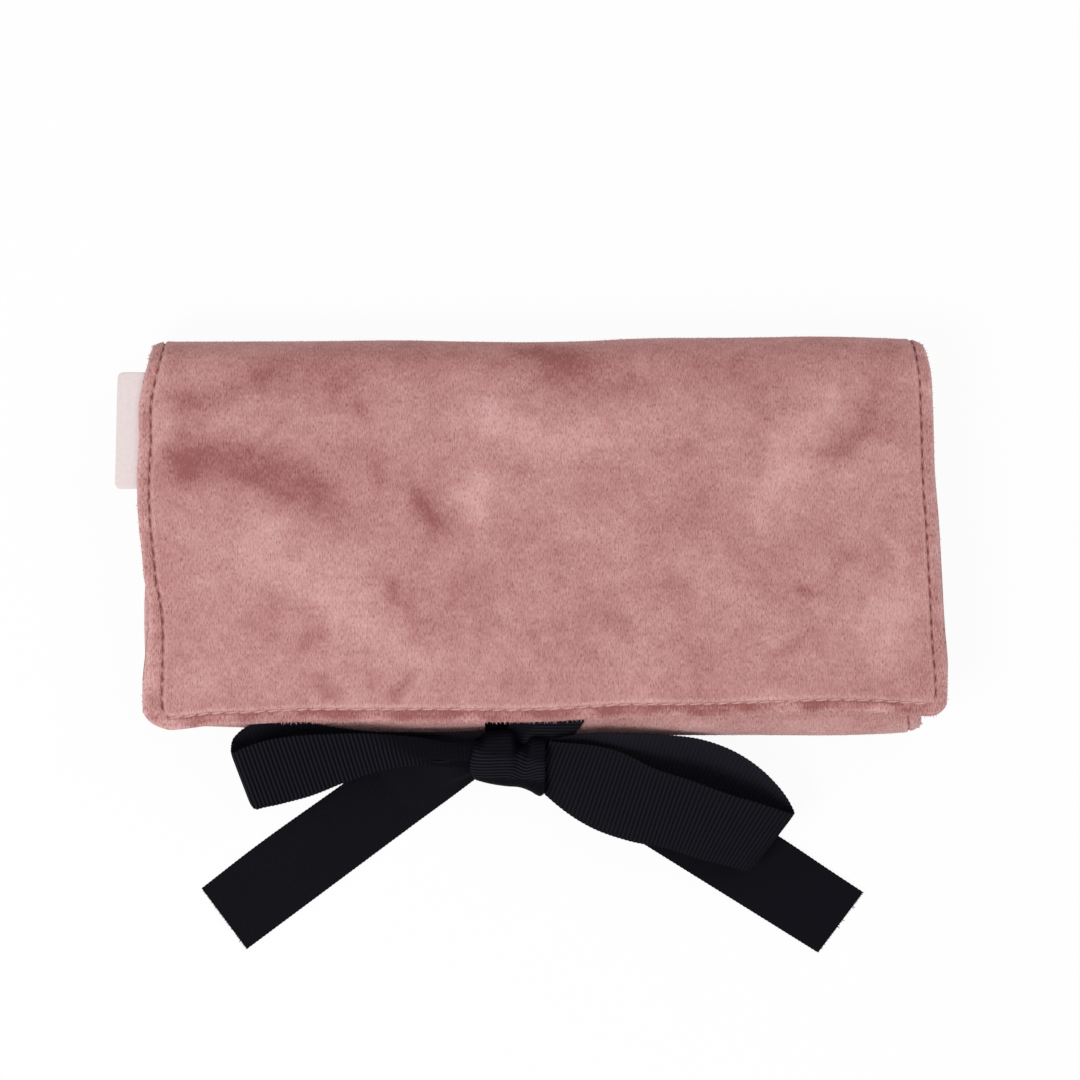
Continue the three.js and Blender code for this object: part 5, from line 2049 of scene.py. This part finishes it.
    def wrap(self, ribbon: Ribbon) -> None:
        """The ribbon round the middle of the bow, drawn into a hollow at its top, with painted rib
        highlights, painted shade on its lower face and a black-painted inner skin.
        """
        rise, outward = self.ways()
        t = np.concatenate([[0, 0.012, 0.04], np.linspace(0.07, 0.93, 52), [0.96, 0.988, 1]])
        t = t[:, None]
        angle = (np.arange(self.around) / self.around * TAU - math.pi / 2)[None]
        c, s = np.cos(angle), np.sin(angle)
        long = np.where(c > 0, through(self.wrap_top, t), through(self.wrap_low, t))
        deep = self.depth - 0.5 * smooth((t - 0.5) / 0.2) + 0.25 * np.sin(t * 9)
        c, s = np.sign(c) * np.abs(c) ** 0.92, np.sign(s) * np.abs(s) ** 0.8
        edge = np.minimum(t, 1 - t)
        face = np.maximum(s, 0)
        crease = bell(t - 0.62 - 0.04 * c, 0.07) * smooth((c + 0.2) / 0.6)
        out = deep * s - 1.3 * crease * face - 0.5 * (1 - rounded(edge, 0.06)) * face
        x = lerp(self.knot_x - 11.8, self.knot_x + 9.8, t) + (1.7 - 0.3 * c) * c**2 * (1 - t)
        along = long * c
        moves = (np.diff(part, axis=1, prepend=part[:, :1]) for part in (along, out))
        round_way = np.cumsum(np.hypot(*moves), axis=1)
        step = -4 * t + 2 * smooth((t - 0.5) / 0.2) - 1.5 * smooth((t - 0.72) / 0.2)
        ahead = step - self.take_up * (round_way - round_way[:, self.around // 2, None])
        # painted rib highlights across the knot, faint near its top and none on its lower face
        ribbed = smooth((along + 4.2 - 2.6 * t) / 1.0) * (1 - 0.8 * smooth((along - 4.0) / 2.5))
        # plain tone: painted shade, darker on the knot's lower face
        plain = lerp(0.03, 0.1, smooth((along + 5) / 2.5))
        ribs = ribbon.ribs(ahead) * (1 - 0.6 * (1 - rounded(edge, 0.03))) * (0.08 + 0.92 * ribbed)
        normal_a, normal_o = c * deep, s * long
        size = np.hypot(normal_a, normal_o)
        normal_a, normal_o = normal_a / size, normal_o / size
        grids = []
        for offset in (ribs, -self.thickness + 0 * ribs):
            a, o = (along + normal_a * offset)[..., None], (out + normal_o * offset)[..., None]
            grids.append((self.middle(x, t) + a * rise + o * outward).transpose(1, 0, 2))
        place = cloth_place(ahead.T, np.broadcast_to(t.T * 20, ahead.T.shape))
        tone = ribbon.shade(ahead, 1.45 * ribbed, plain).T.ravel()
        # the inner skin is painted black, painted shade inside the wrap
        piece = as_object(
            "knot_wrap", *sleeve(*grids), RIBBON, "ribbon", np.concatenate([place, place]),
            np.concatenate([tone, 0 * tone]), ribbon.crease,
        )
        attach(piece, "bow")
        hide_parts("knot")
        wide, long = self.wrap_flat
        self.core()

    def core(self) -> bpy.types.Object:
        """The gathered layers inside the knot, which fill it but for its hollow, painted black as
        the hollow's shade.
        """
        rise, outward = self.ways()
        t, angle = np.meshgrid(np.linspace(0, 1, 25), np.arange(32) / 32 * TAU, indexing="ij")
        shut = 0.55 + 0.45 * np.sin(math.pi * t) ** 0.5
        up = (6.2 + 0.4 * np.cos(5 * angle)) * shut * np.cos(angle)
        out = (3.0 + 0.25 * np.sin(6 * angle)) * shut * np.sin(angle) - 1.0
        base = self.middle(lerp(self.knot_x - 10.5, self.knot_x + 8.8, t), t)
        shell = tube(base + up[..., None] * rise + out[..., None] * outward)
        # tone 0 paints the core deepest black, painted shade in the knot's hollow
        piece = as_object("knot_core_painted_shade", *shell, RIBBON, "ribbon", tone=0 * t)
        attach(piece, "bow")
        return piece

    def ties(self, ribbon: Ribbon) -> None:
        """The flap's tie under its hem and the body's over the bottom fold, both into the knot,
        with painted rib highlights and painted shade.
        """
        y = np.linspace(-34.0, -58.2, 240)
        drawn = smooth((-43.5 - y) / 7.5)
        dip = smooth((-50.5 - y) / 7.0)
        centre = np.stack([-3.0 - 6.6 * drawn, y, 17.95 - 5.2 * dip**1.5], -1)
        half = np.stack([10 - 6.2 * drawn, 0 * y, 0 * y], -1)
        up = np.stack([0 * y, 0 * y, 1 + 0 * y], -1)
        # flap's tie: painted rib highlights to its middle, then painted black, a painted shade
        # where it dips from under the hem
        piece = ribbon.lay(
            "flap_tie_ribbon", Track(centre, half, up, 0.7 * drawn),
            lambda v, place: (
                1 - smooth((place - 0.5) / 0.15), 0.12 - 0.12 * smooth((place - 0.5) / 0.1)
            ),
        )
        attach(piece, "flap")
        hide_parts("flap_tie")
        u = np.linspace(0, 1, 220)
        y, z = through(self.strap_y, u), through(self.strap_z, u)
        gathered = smooth((-57.6 - y) / 4.0)
        x = lerp(5.05, 1.1, np.minimum((-52.4 - y) / 5.4, 1)) - 3.2 * gathered
        centre = np.stack([x, y, z], -1)
        half = np.stack([10.3 - 3.2 * gathered, 0 * y, 0 * y], -1)
        out = unit(np.stack([0 * y, np.gradient(z), -np.gradient(y)], -1))
        # body's tie: strong painted rib highlights, none along its left edge
        piece = ribbon.lay(
            "body_tie_ribbon", Track(centre, half, out, 0 * y),
            lambda v, place: (1.6 * smooth((v + 0.42) / 0.12) + 0 * place, 0.3),
        )
        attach(piece, "bottom_fold_2")
        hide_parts("body_tie")

    def build(self) -> None:
        """Ties the whole bow."""
        ribbon = Ribbon()
        self.wrap(ribbon)
        for loop in self.loops:
            self.loop(loop, ribbon)
        for tail in self.tails:
            self.tail(tail, ribbon)
        self.ties(ribbon)


# ---- studio


@dataclass
class Studio:
    """Camera, lamps, floor and world."""

    aim: Pair = (2.3, -1.2)
    height: float = 1200.0
    lens: float = 138.0
    ambient: float = 0.5
    floor_half: float = 1.6
    floor_drop: float = 0.0004
    floor_white: float = 0.94

    def camera(self) -> None:
        """Camera straight above the roll, as in the photograph."""
        data = bpy.data.cameras.new("camera")
        data.lens, data.sensor_width = self.lens, 36.0
        data.clip_start, data.clip_end = 0.05, 10.0
        camera = linked("camera", data)
        camera.location = Vector((*self.aim, self.height)) * MM
        bpy.context.scene.camera = camera

    def lamp(self, name: str, place: Point, size: float, power: float) -> None:
        """A square soft box that faces the roll.

        Args:
            name: Its name.
            place: Where it hangs, in metres.
            size: Its side, in metres.
            power: Its power in watts.
        """
        data = bpy.data.lights.new(name, "AREA")
        data.shape, data.size, data.energy = "SQUARE", size, power
        lamp = linked(name, data)
        lamp.location = place
        lamp.rotation_euler = (-Vector(place)).to_track_quat("-Z", "Y").to_euler()

    @staticmethod
    def backdrop(canvas: Canvas) -> Socket:
        """1 for rays that should see plain white: from the camera, and through gloss and glass."""
        path = canvas.add("LightPath").outputs
        seen = canvas.sum("MAXIMUM", path["Is Camera Ray"], path["Is Glossy Ray"])
        return canvas.sum("MAXIMUM", seen, path["Is Transmission Ray"])

    def build(self) -> None:
        """Sets up the whole studio."""
        self.camera()
        self.lamp("key", (-0.55, -0.5, 0.95), 0.5, 8.0)
        self.lamp("fill", (0.75, 0.6, 0.9), 0.9, 4.0)
        world = bpy.data.worlds.new("studio")
        canvas = Canvas.blank(world)
        white, soft = (
            canvas.add("Background", {"Color": (1.0, 1.0, 1.0), "Strength": strength})
            for strength in (1.0, self.ambient)
        )
        self.mix(canvas, self.backdrop(canvas), soft, white, "OutputWorld")
        bpy.context.scene.world = world
        bpy.context.scene.view_settings.view_transform = "Standard"
        self.floor()

    @staticmethod
    def mix(
        canvas: Canvas, share: Socket, first: bpy.types.Node, second: bpy.types.Node, end: str
    ) -> None:
        """Joins a mix of two shaders to a new output node of a kind."""
        plugs = {0: share, 1: first.outputs[0], 2: second.outputs[0]}
        canvas.add(end, {"Surface": canvas.add("MixShader", plugs).outputs[0]})

    def floor(self) -> None:
        """Pale floor that looks white and keeps a faint shadow."""
        mesh = bpy.data.meshes.new("floor")
        corners = [
            (x * self.floor_half, y * self.floor_half, -self.floor_drop)
            for x, y in ((-1, -1), (1, -1), (1, 1), (-1, 1))
        ]
        mesh.from_pydata(corners, [], [(0, 1, 2, 3)])
        made = bpy.data.materials.new("floor")
        canvas = Canvas.blank(made)
        matt = canvas.add("BsdfDiffuse", {"Color": (0.85, 0.85, 0.85)})
        glow = canvas.add("Emission", {"Color": (1.0, 1.0, 1.0), "Strength": 1.0})
        share = canvas.sum("MULTIPLY", self.backdrop(canvas), self.floor_white)
        self.mix(canvas, share, matt, glow, "OutputMaterial")
        mesh.materials.append(made)
        linked("floor", mesh)


def main() -> None:
    """Builds every part of the roll and its studio."""
    logging.basicConfig(level=logging.INFO, format="%(message)s")
    Studio().build()
    Cover(CLOTH).build()
    LINING_BUILD.build()
    Topstitch(CLOTH).build()
    Fringe(CLOTH).build()
    FlatCloth(
        "back_pocket", "back", (-108.1, 108.1), (-45.5, 42.8), 3.5, 1,
        "back_upper_lining_cloth", (26.0, 1.8, 94.0),
    ).build()
    FlatCloth(
        "flap_pocket", "flap", (-108.1, 110.0), (-43.5, 42.8), 19.1, -1,
        "flap_lining_cloth", (38.0, 1.8, 94.0),
    ).build()
    FlatCloth(
        "inner_slip_pocket", "inner_panel", (-108.1, 108.1), (-48.1, -21.3), 13.7, -1,
        "inner_lining_cloth", loose_top=True,
    ).build()
    Zip("back_zip", "back", 26.0, 4.2, 1).build()
    Zip("flap_zip", "flap", 38.0, 18.4, -1).build()
    RingBar().build()
    Label().build()
    Bow().build()


if __name__ == "__main__":
    main()
